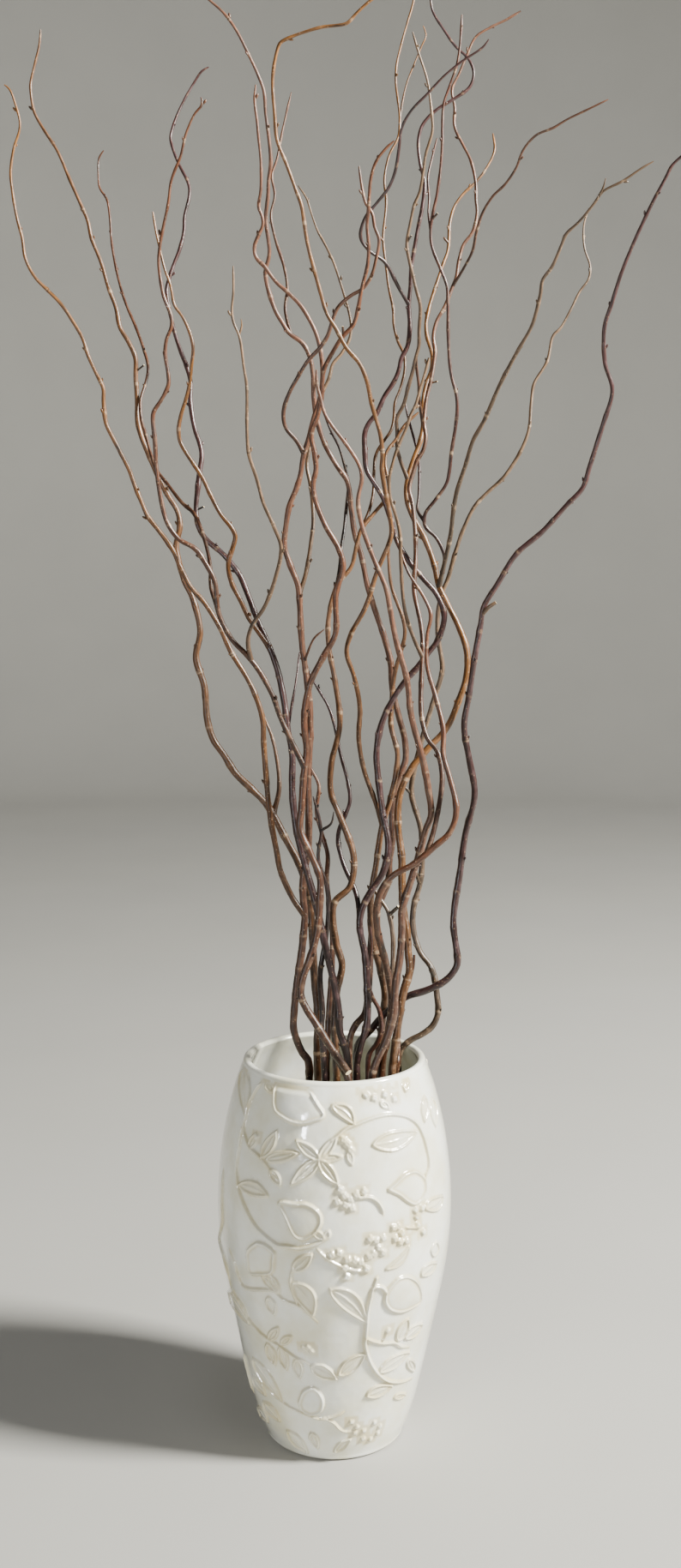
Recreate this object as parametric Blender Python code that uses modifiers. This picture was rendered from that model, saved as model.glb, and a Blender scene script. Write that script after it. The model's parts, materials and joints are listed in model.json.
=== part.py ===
"""Curly willow stems standing in a round-bellied glazed vase.

The frame is in metres with +Z up, and its origin is the centre of the vase's foot on the table.
The stems are drawn by hand as an eye in front of the vase sees them. A route is a list of (x, z)
in centimetres on the upright plane through the vase's axis. Each point is then moved along the
line of sight to its stem's depth, so the drawing stays true from the front at any depth. Where
two stems would run through each other, their depths are parted until they pass clear.
"""
import math
from dataclasses import dataclass, field

import bmesh
import bpy
import numpy as np
from mathutils import Vector

CENTIMETRE = 0.01
MILLIMETRE = 0.001
OBJECT_NAME = "willow_stems_in_vase"

# The eye that the stems are drawn from
EYE = np.array([0.0056, -1.3825, 0.7761])
EYE_DISTANCE = -EYE[1]

# The vase, with radii measured from its axis
VASE_HEIGHT = 0.360
FOOT_RADIUS = 0.0600
FOOT_CORNER = 0.0060
FLOOR_THICKNESS = 0.0090
FLOOR_RADIUS = 0.0500
WALL_THICKNESS = 0.0070
LIP_OUTER_RADIUS = 0.0840
LIP_RADIUS = 0.0038
VASE_STEPS = 36
LIP_POINTS = 7
CORNER_POINTS = 4
OUTLINE = [(0.0715, 0.0200), (0.0775, 0.0400), (0.0845, 0.0700), (0.0908, 0.1000), (0.0972, 0.1300),
           (0.1030, 0.1600), (0.1070, 0.1900), (0.1084, 0.2200), (0.1074, 0.2500), (0.1040, 0.2800),
           (0.0996, 0.3040), (0.0934, 0.3290), (0.0885, 0.3440), (0.0862, 0.3505)]
INNER_CORNER = (0.0580, 0.0125)
INNER_RISE = 0.0020

# How the stems stand in the vase
FOOT_GAP = 0.0006
FOOT_SPREAD = 0.62
NECK_SHARES = (0.82, 0.91, 1.0)
MOUTH_HEIGHT = VASE_HEIGHT

# How the routes are sampled, and how far the stems keep apart
SAMPLE_STEP = 0.004
CURVE_POINTS = 16
DEPTH_SOFTENING = 40
TAPER_POWER = 1.5
DRIFT_POWER = 1.5
FORK_SHARE = 0.80
STEM_GAP = 0.0013
SEEN_MARGIN = 0.0010
PARTING_ROUNDS = 420
PUSH_SHARE = 0.7
PUSH_SPREAD = 5.0
PUSH_REACH = 14
ROOT_REACH = 0.050
FREE_HEIGHT = 0.030
FUSE_START = 0.012
FUSE_LENGTH = 0.045
RUN_ROWS = 3
RUN_PARTNERS = 5
SETTLED = 0.00002

# How a route becomes a tube
RING_TOLERANCE = 0.00055
TUBE_SIDES_SETTING = 1
WELD_DISTANCE = 0.00001
MERGE_DISTANCE = 0.0001
FUSE_WELD = 0.000025


@dataclass
class Strand:
    """One unbranched run of willow: a stem from its foot in the vase, or a fork of another strand."""
    name: str
    parent: str
    radii: tuple
    depths: list
    route: list
    mouth: tuple = (0.0, 0.0)
    samples: np.ndarray = field(default=None, repr=False)
    depth: np.ndarray = field(default=None, repr=False)
    radius: np.ndarray = field(default=None, repr=False)
    length: np.ndarray = field(default=None, repr=False)
    freedom: np.ndarray = field(default=None, repr=False)
    root_index: int = 0


def stem(number, mouth, radii, depths, route):
    """A stem that stands in the vase and crosses its mouth at (x, y) centimetres."""
    return Strand(f"willow_stem_{number:02d}", "", radii, depths, route, mouth)


def fork(name, parent, radii, tip_depth, route):
    """A branch that leaves its parent where its route begins."""
    return Strand(name, parent, radii, [tip_depth], route)


# Radii are in millimetres at root and tip, and depths are (height, depth) in centimetres along the
# line of sight, with the front negative
STRANDS = [
    stem(1, (-2.4, -1.6), (3.5, 1.0), [(60, -1.0), (90, -2.5), (120, -6.0)],
         [(-2.9, 36.1), (-3.4, 37.2), (-3.75, 38.5), (-3.7, 40), (-3.4, 43), (-2.95, 46), (-2.7, 49.3),
          (-2.85, 50.7), (-2.85, 52.3), (-2.4, 55), (-2.3, 58.5), (-2.35, 62), (-2.15, 66), (-2.2, 68),
          (-2.45, 70.5), (-2.9, 74), (-3.05, 77), (-3.2, 78.8), (-3.9, 80.7), (-4.4, 82.3),
          (-4.25, 84.2), (-3.9, 86), (-3.35, 87.3), (-3.0, 88.4), (-2.7, 90.2), (-2.25, 91.7),
          (-1.75, 93.6), (-1.2, 95.4), (-1.0, 97.2), (-1.05, 98.3), (-1.4, 100.2), (-1.9, 101.4),
          (-2.8, 102.9), (-3.95, 104.1), (-5.0, 105.0), (-6.0, 106.3), (-6.75, 107.1), (-6.9, 108),
          (-6.5, 109), (-6.15, 109.8), (-6.2, 110.5), (-6.5, 111.3), (-6.3, 112.8), (-6.3, 115.2),
          (-6.45, 116.8), (-6.6, 118.4), (-6.8, 120.2), (-6.7, 121.4)]),
    fork("branch_01_left", "willow_stem_01", (2.9, 0.9), -2.0,
         [(-2.7, 49.1), (-3.7, 50.5), (-4.9, 53.2), (-5.2, 54.8), (-5.85, 58.5), (-6.15, 62),
          (-6.35, 65), (-6.4, 66.8), (-6.9, 68.7), (-7.7, 70.5), (-9.2, 73), (-10.1, 75),
          (-11.5, 77.3), (-12.7, 78.7), (-13.6, 80.4), (-14.3, 82), (-15.5, 83.7), (-16.5, 85),
          (-17.0, 86.2), (-17.6, 87.7), (-18.05, 89), (-18.8, 90.5), (-19.4, 91.7), (-20, 93),
          (-20.2, 95), (-20.2, 96), (-20.8, 97.3), (-21.5, 98.9), (-21.9, 100.2), (-23, 102.1),
          (-23.85, 103.3), (-25, 104.45), (-26, 105.5), (-26.75, 107), (-27, 108.8), (-27.4, 110.4),
          (-27.75, 112.7), (-27.85, 114.1), (-27.55, 116.1), (-27.05, 117.5), (-26.95, 118.3),
          (-27.3, 119.8), (-27.75, 121), (-28.2, 121.4)]),
    fork("branch_01_thin", "willow_stem_01", (1.9, 0.8), 3.0,
         [(-3.0, 78), (-2.5, 80), (-2.05, 82.7), (-1.85, 84.5), (-2.05, 87.5), (-2.4, 89.3),
          (-2.15, 91), (-1.95, 92.4), (-1.5, 94), (-1.05, 95.5), (-0.4, 97), (-0.1, 98.1),
          (0.6, 98.9), (1.3, 100.1), (1.5, 101.2), (1.3, 102.5), (0.85, 104.05), (0.35, 105.6),
          (0.0, 106.6), (-0.7, 108.05), (-1.45, 109.4), (-2.05, 111.1), (-2.35, 112), (-3.1, 113.1)]),
    fork("branch_01_bow", "willow_stem_01", (2.2, 1.1), -9.0,
         [(-2.65, 90.3), (-3.3, 91.5), (-4.25, 92.65), (-4.45, 93.9), (-4, 95.45), (-3.15, 97),
          (-2.25, 98.4), (-1.3, 99.4), (-0.6, 100.4), (-0.1, 101.9), (0.35, 102.9), (1.5, 103.9),
          (2.4, 104.4), (3.2, 105.45), (3.65, 107), (3.9, 108.6), (3.5, 109.7), (3.3, 110.8),
          (2.75, 111.6), (2.45, 112.7), (2.15, 114.7)]),
    fork("twig_01_side", "willow_stem_01", (1.1, 0.7), -4.0,
         [(-2.6, 72.3), (-1.8, 74.2), (-0.9, 75)]),

    stem(2, (1.2, -7.0), (3.4, 1.1), [(48, -5.6), (62, -4.5), (90, -6.5), (115, -10.0)],
         [(0.6, 35.1), (-0.2, 36.5), (-0.9, 37.6), (-1.8, 39.1), (-2.6, 40.4), (-3.05, 41.5),
          (-2.95, 43), (-2.05, 45.6), (-1.5, 48), (-1.3, 51), (-1.3, 52.5), (-2.1, 54.6), (-3.1, 57),
          (-2.95, 59), (-2.75, 62), (-2.5, 64), (-2.7, 67), (-2.15, 70.2), (-0.9, 72.7),
          (0.1, 74.6), (0.15, 78.2), (0.8, 80.6), (0.4, 82.1), (-0.8, 84.2), (-1.7, 86.5),
          (-1.85, 87.8), (-1.6, 89), (-1.7, 90.3), (-2.0, 92.1), (-1.5, 93.5), (-1.1, 95.2),
          (-0.95, 97.4), (-0.2, 98.95), (0.75, 100.4), (1.7, 101.45), (2.1, 102.85), (2.4, 104.45),
          (2.9, 106.4), (3.0, 108.05), (2.85, 109.8), (2.95, 110.9), (3.05, 112.4), (3.15, 113.5),
          (3.6, 115.05), (4.6, 116.3), (5.2, 116.8)]),
    fork("branch_02_long", "willow_stem_02", (2.8, 0.9), -9.0,
         [(-2.65, 62.6), (-3.7, 64.7), (-4.9, 67.3), (-5.4, 68.8), (-6.7, 71.3), (-7.8, 72.7),
          (-9.2, 74.2), (-10.3, 76.5), (-10.6, 79.2), (-11.4, 80.8), (-12.3, 82.1), (-13.8, 83),
          (-14.8, 84.5), (-15.3, 86.5), (-15.65, 89.3), (-15.75, 91.5), (-15.9, 93.2),
          (-15.85, 93.9), (-15.05, 95.15), (-14.5, 96.3), (-14.5, 97.2), (-14.75, 99),
          (-14.6, 100.2), (-14.15, 101.3), (-14.2, 102.2), (-14.8, 103.8), (-15.1, 105.5),
          (-15.2, 106.9), (-15.05, 108.2), (-14.75, 109.7), (-14.3, 111.65), (-14.05, 113.4),
          (-13.6, 114.6), (-13.2, 115.5), (-12.7, 117.4), (-11.95, 119), (-11.3, 119.8),
          (-11.4, 120.4)]),
    fork("branch_02_back", "branch_02_long", (2.2, 0.9), 11.0,
         [(-10.4, 77), (-10.95, 78.7), (-11, 80.6), (-11.5, 83), (-12.4, 85.2), (-13.4, 86.1),
          (-14.8, 87.9), (-15.6, 88.9), (-16.1, 90.3), (-16.6, 92.2), (-16.9, 93.3), (-16.95, 95),
          (-16.5, 96.4), (-16.25, 97.8), (-16.6, 99.3), (-17.3, 101.3), (-18.1, 103.2),
          (-18.65, 105), (-19, 106.7), (-19.25, 108.4), (-19.4, 110.8), (-19.6, 111.95),
          (-20.2, 112.9), (-20.3, 114), (-20.2, 115.4), (-19.8, 116)]),
    fork("branch_02_thin", "branch_02_long", (1.8, 0.8), -13.0,
         [(-7.4, 72.3), (-7.7, 73.8), (-7.4, 75.2), (-6.2, 77), (-5.2, 79.6), (-4.7, 82.2),
          (-5.3, 84), (-6.2, 86), (-6.85, 88.3), (-7.5, 90.35), (-7.65, 92.4), (-7.65, 96.2),
          (-7.9, 97.9), (-8.25, 100.4), (-8.75, 101.6), (-8.9, 102.6), (-8.75, 104.2),
          (-8.75, 106.4)]),
    fork("twig_02_thin", "branch_02_thin", (0.9, 0.6), -10.5,
         [(-8.25, 100.5), (-8.05, 101.3), (-8.1, 101.9)]),

    stem(3, (-1.6, 0.6), (3.6, 1.0), [(60, 1.5), (90, 3.5), (122, 6.0)],
         [(-1.6, 37.5), (-1.5, 39.5), (-1.85, 43.5), (-2, 47), (-2.3, 51), (-3.2, 53.8),
          (-4.4, 56.1), (-6, 59.1), (-7.5, 60.7), (-8.9, 62.1), (-9.9, 63.7), (-10.9, 65.2),
          (-11.4, 67), (-11.65, 70), (-12.35, 72.5), (-11.95, 74.8), (-12.6, 77.8), (-13.3, 79.3),
          (-13.85, 81.3), (-14, 82.3), (-13.65, 84.1), (-13.85, 85.4), (-14.65, 86.75),
          (-15.5, 88.4), (-16.1, 89.8), (-16.95, 91.95), (-17.25, 93.3), (-17.25, 95),
          (-17.35, 97), (-17.35, 98.6), (-17.95, 100), (-18.65, 101.2), (-18.95, 102.8),
          (-19.6, 104.6), (-20.2, 106.7), (-21, 108.75), (-21.3, 110.2), (-21.95, 111.75),
          (-22.85, 113.8), (-23.8, 116), (-25, 117.85), (-25.7, 119.2), (-25.95, 120.7),
          (-25.95, 121.5), (-25.5, 123.25), (-25.1, 124.85), (-25, 125.9)]),
    fork("branch_03_inner", "willow_stem_03", (2.2, 1.0), 3.5,
         [(-5.6, 58.4), (-5, 60.5), (-5.05, 62.5), (-5.6, 65.4), (-6.3, 67.2), (-6.7, 68.6)]),

    stem(4, (1.25, -4.1), (3.4, 1.0), [(60, -2.5), (88, 1.5), (122, 9.0)],
         [(1.0, 36.6), (0.5, 38.2), (0.35, 40.5), (-0.2, 43.5), (-0.85, 46.3), (-1.3, 48.5),
          (-2, 51.3), (-3, 55), (-3.5, 57.5), (-3.8, 60.5), (-3.8, 64), (-4.15, 65.9),
          (-4.5, 68.6), (-5.1, 71.5), (-5.9, 73.7), (-6.9, 76), (-7.8, 78.4), (-8.4, 79.8),
          (-9.8, 81.6), (-11.3, 82.9), (-11.95, 83.9), (-12.2, 85.5), (-12.05, 87.2),
          (-11.85, 88.8), (-11.65, 90.2), (-11.8, 91.2), (-12.2, 92.4), (-12.45, 93.6),
          (-12.6, 95), (-12.55, 96.5), (-12.9, 97.9), (-13.4, 99.2), (-13.85, 100.6),
          (-14.1, 101.6), (-14.4, 103), (-14.55, 104.4), (-14.35, 105.2), (-13.8, 106.75),
          (-13.45, 107.55), (-13, 109.2), (-12.9, 110.6), (-12.6, 111.7), (-12.45, 112.6),
          (-12.6, 113.4), (-13.3, 114.75), (-13.9, 116.3), (-14.05, 117.1), (-13.9, 117.7),
          (-13.5, 118.8), (-12.8, 120.2), (-11.85, 121.75), (-11.3, 122.5), (-10.7, 122.85)]),
    fork("branch_04_golden", "willow_stem_04", (2.3, 0.9), -4.0,
         [(-5.8, 73.4), (-6.7, 74.7), (-7.6, 76), (-8.3, 77.5), (-9.1, 79.1), (-9.4, 80.8),
          (-8.95, 82.3), (-8.75, 83.2), (-9.1, 84), (-10, 85.1), (-11, 87), (-11.55, 88.2),
          (-12.3, 89.4), (-13.1, 90.6), (-13.55, 91.5), (-13.65, 92.5), (-13.4, 93.8),
          (-12.95, 95.2), (-12.6, 96.6), (-12.45, 98), (-12.3, 99.5), (-12.6, 100.8),
          (-13.2, 102.1), (-13.9, 103.1), (-14.1, 104.2), (-14.3, 105.1), (-14.65, 106),
          (-14.95, 107.15), (-15.15, 108.1), (-15.35, 109), (-15.5, 109.9), (-15.65, 110.9)]),
    fork("twig_04_dim", "willow_stem_04", (1.3, 0.8), 3.5,
         [(-4.15, 66.0), (-3.85, 68), (-3.4, 70.5), (-3.1, 73)]),

    stem(5, (0.2, -2.8), (3.3, 1.2), [(60, -0.5), (84, 0.5), (94, 3.0)],
         [(0.1, 37), (0.0, 38.5), (0.25, 42), (0.7, 44.5), (0.15, 46.5), (0.0, 50.2), (1.4, 51.7),
          (1.75, 54.5), (0.5, 58.2), (-0.3, 60.3), (-0.25, 63), (0.5, 66.5), (0.1, 70.2),
          (-0.5, 73.6), (-0.5, 76), (0.3, 79), (1.5, 80.5), (2, 82.5), (2.4, 83.8), (3.6, 85.3),
          (4.75, 86.7), (4.85, 87.3), (4.7, 88.4), (4.5, 89.4), (4.6, 90.5), (5.4, 91.6),
          (6.2, 92.85), (7.4, 93.95)]),
    fork("branch_05_tall", "willow_stem_05", (2.8, 0.9), 13.0,
         [(2.45, 84), (3.05, 85.35), (3.45, 87), (3.5, 88.6), (3.6, 90), (3.9, 90.8), (4.6, 91.8),
          (5, 92.4), (5.25, 93.5), (5.35, 94.8), (5.8, 96), (6.15, 97.4), (6.1, 98.85),
          (5.55, 100.05), (5.2, 101.5), (5.15, 102.7), (4.75, 104.6), (4.5, 106.45),
          (4.25, 108.7), (4.45, 110.8), (4.5, 112), (4.35, 113.6), (4.75, 115.6), (5.5, 117.05),
          (5.65, 118.5), (5.5, 120), (5.3, 121.5), (5.35, 123), (5.75, 124.7), (6.3, 126.6),
          (6.8, 128.3), (7, 130), (7.35, 132), (7.2, 134), (7.5, 135.5)]),
    fork("twig_05_tall", "branch_05_tall", (1.2, 0.7), 12.0,
         [(5.6, 118.7), (5.95, 120.4), (6.3, 121.7), (6.85, 123.05), (7.5, 124.6), (7.85, 125.4),
          (7.6, 126.2)]),
    fork("branch_05_dark", "willow_stem_05", (1.8, 0.9), 6.0,
         [(0.3, 79), (0.5, 80.6), (0.65, 82.3), (0.9, 84), (1.1, 86), (1.25, 88), (0.95, 89.2),
          (0.45, 90.9), (-0.3, 92.4), (-0.95, 94.1), (-1.2, 95.4)]),

    stem(6, (-0.7, -1.2), (2.9, 1.4), [(50, 1.5), (65, 4.0)],
         [(-0.6, 38), (-0.5, 40), (-0.15, 45.5), (-0.3, 49), (-0.7, 52.3), (-0.6, 54.6),
          (-1.1, 56.5), (-1.6, 58.7), (-1.4, 61), (-2.2, 62.8), (-2.4, 64.2)]),

    stem(7, (-0.9, -4.1), (2.7, 1.2), [(50, -2.8), (62, -2.5)],
         [(-1.1, 36.8), (-1.2, 38.4), (-1.1, 40), (-1.3, 43.5), (-0.65, 48), (-0.65, 51.5),
          (-1.45, 54.3), (-1.2, 57), (-1.9, 60)]),
    fork("twig_07_curl", "willow_stem_07", (1.1, 0.7), -3.5,
         [(-1.2, 56.7), (-0.3, 57.5), (-0.05, 58.6)]),

    stem(8, (1.35, 1.5), (3.2, 0.9), [(45, 3.0), (60, 4.0), (90, 3.0), (125, -3.0)],
         [(1.5, 37.8), (2.0, 38.9), (2.8, 39.9), (3.2, 43.2), (3.3, 46), (3.5, 48), (4.2, 50.4),
          (4.9, 52.2), (5, 54), (5.25, 56), (5.25, 59.7), (5.8, 61.6), (6.4, 63.3), (6.3, 65.3),
          (5.85, 67), (5.35, 69), (5.1, 70.5), (5.05, 72), (4.4, 74.5), (3.8, 76.2), (3, 78.7),
          (2.4, 81.5), (1.8, 83.6), (1.5, 85.6), (1.15, 88), (0.2, 89.4), (-0.75, 91.05),
          (-1.25, 92.35), (-1.65, 94.1), (-1.8, 95.6), (-1.85, 97.2), (-2.1, 98.6), (-2.7, 99.8),
          (-3.95, 100.75), (-4.5, 101.6), (-5, 102.4), (-5.6, 104), (-5.95, 105.8), (-5.6, 107.4),
          (-5.7, 108.7), (-5.9, 110.4), (-5.7, 112.2), (-5.65, 113.4), (-5.45, 114.9),
          (-5.5, 116.2), (-5.85, 119), (-6, 120.85), (-6.4, 122), (-7.3, 123.9), (-8.3, 125.8),
          (-9.25, 127.1), (-10.6, 128.3), (-12, 129.4), (-13, 131), (-13.2, 132.2)]),
    fork("branch_08_side", "willow_stem_08", (1.5, 0.8), 5.0,
         [(-3.9, 100.7), (-4.25, 102.7), (-4.05, 104.4), (-4.3, 106.2), (-5, 108.4),
          (-5.45, 110.6), (-5.1, 112.3), (-5.35, 113.9), (-4.9, 115.3), (-4.6, 116.8),
          (-4.05, 119.2), (-3.65, 120.8)]),

    stem(9, (2.05, -2.6), (3.2, 0.9), [(50, -1.0), (60, 0.5), (90, 1.0), (125, 3.0)],
         [(2.4, 36.8), (3, 39), (3, 42), (2.8, 45.3), (2.3, 48), (2.45, 49.4), (3.1, 50.9),
          (4.4, 53), (4.9, 55.5), (4.4, 58.4), (4, 61.3), (3.8, 64), (4.2, 66.4), (5, 68.3),
          (6.2, 70.2), (7.5, 71.7), (8.3, 72.8), (9.2, 74), (9.8, 76.2), (9.1, 78.1),
          (7.8, 79.6), (6.5, 81.2), (5.5, 83), (4.9, 85), (4.2, 86.8), (3.45, 87.95), (2.85, 89),
          (2.7, 90.6), (2.7, 92.2), (3.1, 93.1), (3.7, 93.8), (4.4, 95.3), (5.2, 96.5),
          (5.6, 97.4), (5.9, 98.6), (6.4, 99.6), (6.6, 101.3), (6.5, 103), (6.65, 104.9),
          (6.7, 106.3), (6.95, 107.8), (7.25, 109.5), (7.6, 111.2), (7.8, 113.3), (7.4, 115.05),
          (7.25, 116.75), (7.6, 118.1), (8.8, 119.35), (10.3, 120.25), (11.6, 121.2),
          (11.95, 122.35), (11.5, 123.5), (10.4, 124.5), (9.35, 125.9), (8.4, 127.4),
          (8.2, 128.6), (8, 130), (7.6, 131.3), (7.8, 132.6)]),
    fork("branch_09_left", "willow_stem_09", (2.3, 1.0), 5.5,
         [(2.3, 48.6), (2, 51), (0.7, 54.2), (0.35, 56.5), (1.4, 59.5), (1.2, 61.4), (0.6, 63.7),
          (-0.4, 67.8), (-1.9, 70.5), (-3.05, 73.2)]),
    fork("branch_09_loop", "willow_stem_09", (1.7, 0.8), -7.0,
         [(6.5, 103.1), (5.7, 104.4), (4.4, 106.7), (3, 107.7), (2.3, 108.75), (2.65, 110.35),
          (3.65, 111.6), (4.7, 112.9), (5.3, 114.4), (5.6, 116.3), (5.8, 117.8), (6.6, 119.25),
          (8, 120.65), (9.4, 122.1), (11, 123.35), (12.7, 124.45), (13.2, 125.1)]),

    stem(10, (4.2, 2.6), (3.4, 1.3), [(50, 1.0), (60, 1.5), (84, 3.0)],
         [(4.35, 38.6), (4.6, 41.6), (4.1, 44.4), (3.45, 47), (3.3, 50.5), (3.75, 53.5),
          (4.4, 57.6), (5, 59.5), (5.7, 63.7), (5.1, 66.3), (5.1, 67.8), (5.4, 71), (6.3, 74.6),
          (6.1, 76), (5.1, 78.8), (4.85, 80.8), (4.8, 81.8), (4.9, 83.2)]),
    fork("branch_10_gold", "willow_stem_10", (3.0, 1.1), -12.0,
         [(4.35, 57.3), (3.6, 59.8), (2.7, 62.3), (2.2, 65.2), (2.3, 68), (1.8, 70.7), (1.1, 73),
          (1.5, 74.6), (2.8, 77), (3.8, 80.1), (5.05, 83.3), (4.95, 84.8), (4.7, 86.2),
          (4.4, 87.7), (4.2, 89.1), (4.25, 90.4), (4.1, 91.8), (3.85, 92.8), (3.3, 94.65),
          (2.85, 96.7), (2.2, 98.15), (1.05, 99.5), (0.1, 101.2), (-0.6, 102.3), (-1.15, 104.05),
          (-1.7, 106), (-2.25, 108.05), (-2.6, 110.15), (-2.8, 111.4), (-3.35, 112.9),
          (-4.1, 114.9), (-4.9, 116.9), (-5.1, 119.15), (-5.25, 121.3), (-5.2, 122.4),
          (-4.9, 124), (-4.6, 124.8), (-4, 125.15), (-2.5, 125.7), (-1, 126.1), (0.35, 126.25),
          (1.1, 126.4), (2, 127.3), (3.05, 128.2), (3.7, 128.6)]),

    stem(11, (4.35, -1.5), (3.4, 1.1), [(44, -3.0), (50, -6.2), (56, -7.0), (70, -4.0), (84, -2.5)],
         [(4.8, 37.2), (5.2, 39.4), (5.25, 41.5), (4.7, 44.6), (3.95, 47.6), (3.9, 50),
          (4.4, 51.6), (5.4, 52.8), (7.2, 53.8), (9.3, 55.6), (10.3, 56.5), (10.9, 57.8),
          (11, 59.2), (10.4, 61.7), (9.8, 63.8), (9.8, 66), (9.1, 68.9), (8.3, 71.8),
          (8.3, 74.5), (8.6, 76.3), (8, 77.8), (6.6, 80), (5.9, 81.8), (5.4, 83.4)]),
    fork("branch_11_right", "willow_stem_11", (2.9, 1.0), 8.0,
         [(8.4, 54.9), (9.1, 57.3), (9.65, 60.5), (9.7, 62), (9.3, 64), (8.4, 65.2), (7.9, 66.8),
          (7.75, 68.5), (7.8, 71), (7.9, 73.5), (7.7, 75.5), (7.1, 78.5), (7.2, 81), (7.2, 83),
          (7, 85.3), (6.85, 86.3), (6.6, 87.4), (6.95, 88.7), (7.35, 89.9), (7.75, 90.5),
          (8.05, 91.7), (7.9, 92.9), (7.95, 94), (8.1, 95.25), (8.4, 96.4), (8.65, 97.8),
          (8.8, 99.2), (8.65, 100.4), (8.95, 101.75), (9.6, 102.9), (10.3, 104.65), (10.6, 105.4),
          (10.8, 106.75), (11.2, 108.15), (12, 109.25), (12.35, 110.8), (12.25, 111.9),
          (12.2, 113.4), (11.75, 115.2), (11.1, 116.45), (10.45, 117.65), (10.3, 118.3),
          (10.35, 119.5), (10.1, 121), (10.7, 122.3), (11.4, 123.9), (12.1, 125.3), (13.4, 126.1),
          (14.7, 126.7), (15.9, 127.4)]),
    fork("branch_11_arm", "branch_11_right", (1.8, 0.8), -5.0,
         [(10.35, 104.8), (11.25, 106.2), (12, 107.65), (12.3, 109.15), (12.8, 110.75),
          (13.7, 112.2), (14.75, 113.2), (15.7, 114.6), (16.25, 116), (17.35, 117.25),
          (18.8, 117.85), (20, 118.55), (21.6, 119.3), (23.5, 120.2)]),
    fork("branch_11_pale", "branch_11_right", (2.1, 1.2), -5.0,
         [(7.85, 72.4), (7.1, 74.2), (6.4, 76.2), (6.1, 78), (5.9, 81.3), (5.8, 83.5),
          (5.3, 85.5), (4.95, 86.6), (4.85, 88.2), (5.1, 89.35), (5.4, 90.4), (5.8, 91.4),
          (6.3, 92.5), (6.7, 93.7), (7.1, 94.5), (7.35, 95.3), (7.65, 96.3), (8.1, 97.85),
          (8.3, 98.6)]),

    stem(12, (3.2, 0.0), (2.4, 1.2), [(40, 0.0), (49, -0.5)],
         [(3.9, 37.1), (4.3, 38.4), (4.1, 40.2), (3.4, 41.6), (3.1, 43.2), (3.4, 46), (3.3, 48)]),

    stem(13, (4.6, 1.1), (2.8, 1.8), [(44, 1.0), (52, 2.6)],
         [(5.0, 39), (5.3, 42), (5.35, 45.5), (5.35, 47), (4.9, 49.4), (4.3, 50.4), (3.6, 51.5)]),

    stem(14, (3.4, -5.6), (3.5, 1.2), [(50, -4.6), (60, -5.5), (80, -7.5), (97, -9.0)],
         [(4.1, 35.9), (4.6, 37), (5.4, 39.6), (5.6, 42.5), (6, 45.2), (6.15, 48), (6.15, 49.5),
          (7, 52.4), (7.7, 54.8), (8.3, 57), (8.75, 58.3), (8.45, 60.8), (7.9, 63.6), (6.9, 67.3),
          (6.5, 70.5), (5.5, 74.1), (4.9, 77.2), (4.65, 78.5), (3.4, 81.5), (2.5, 84),
          (2.1, 86.3), (2.45, 88.3), (2.2, 89.4), (1.2, 91), (-0.1, 92.7), (-0.8, 93.8),
          (-1.15, 95), (-1.5, 96.4), (-1.55, 97.6)]),

    stem(15, (5.25, -3.3), (3.6, 1.0), [(50, -0.5), (60, 0.5), (90, 4.0), (118, 13.0)],
         [(5.6, 37), (5.85, 38.8), (6.3, 41.8), (6.85, 43.8), (6.75, 45.6), (6.6, 47.6),
          (6.2, 50.5), (6.1, 54.5), (5.75, 57.5), (5.95, 60.3), (7, 62.6), (8.3, 64.2),
          (10.1, 66.2), (11.1, 68.5), (11.8, 70.8), (11.85, 73), (11.2, 75), (10.1, 77.2),
          (9.3, 78.8), (8.9, 80.6), (8, 83), (6.9, 85), (6.45, 86.2), (6.35, 87.4), (6.6, 88.7),
          (7.05, 90.1), (7.55, 91.45), (7.8, 92.8), (7.75, 94), (7.85, 95.4), (8.1, 96.5),
          (8.5, 97.6), (8.6, 98.6), (8.4, 99.5), (8.1, 100.4), (8, 101.5), (8.3, 103),
          (8.9, 104.9), (9.4, 106.4), (9.85, 107.65), (9.95, 109.2), (10, 110), (10.4, 111.35),
          (11.2, 112.45), (12.25, 113.4), (13.25, 114.75), (13.8, 116), (13.65, 117.4)]),
    fork("branch_15_outer", "willow_stem_15", (2.5, 0.8), -14.0,
         [(9.35, 78.7), (9.7, 80.5), (10.3, 83.3), (10.5, 85.2), (10.8, 87), (11.6, 89.5),
          (12.2, 91.5), (13.2, 93.3), (14.5, 96.3), (16.2, 99.5), (17.05, 100.95), (17.4, 101.8),
          (17.95, 104.1), (18.1, 105.2), (18.9, 106.3), (19.7, 108.15), (20.05, 109),
          (21.25, 110.15), (22.45, 111.6), (23.2, 112.6), (24.85, 113.45), (26.6, 114.6),
          (27.5, 115.1)]),
    fork("twig_15_outer", "branch_15_outer", (0.9, 0.6), -13.5,
         [(22.9, 112.2), (23.2, 112.9), (23.4, 113.7)]),
    fork("branch_15_dark", "branch_15_outer", (2.4, 1.0), 0.0,
         [(9.55, 79.9), (9.8, 81.3), (9.1, 83), (8.1, 84), (7.95, 84.7), (8.1, 85.3),
          (8.95, 86.4), (9.9, 87.8), (10.15, 88.9), (10.3, 90.4), (10.65, 92.7), (10.8, 94.2),
          (10.7, 95.5), (10.3, 96.9), (10.1, 98.1), (9.95, 100.6), (9.9, 103.2), (9.8, 104.7),
          (9.3, 106), (8.5, 107.95), (8.35, 109.2), (8.55, 110.8), (8.85, 112.15),
          (9.15, 114.3), (9.3, 116.5), (9.3, 118), (9.4, 119.8), (9.9, 121.3), (10.5, 123),
          (10.75, 124.6), (10.9, 127.1)]),
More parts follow.
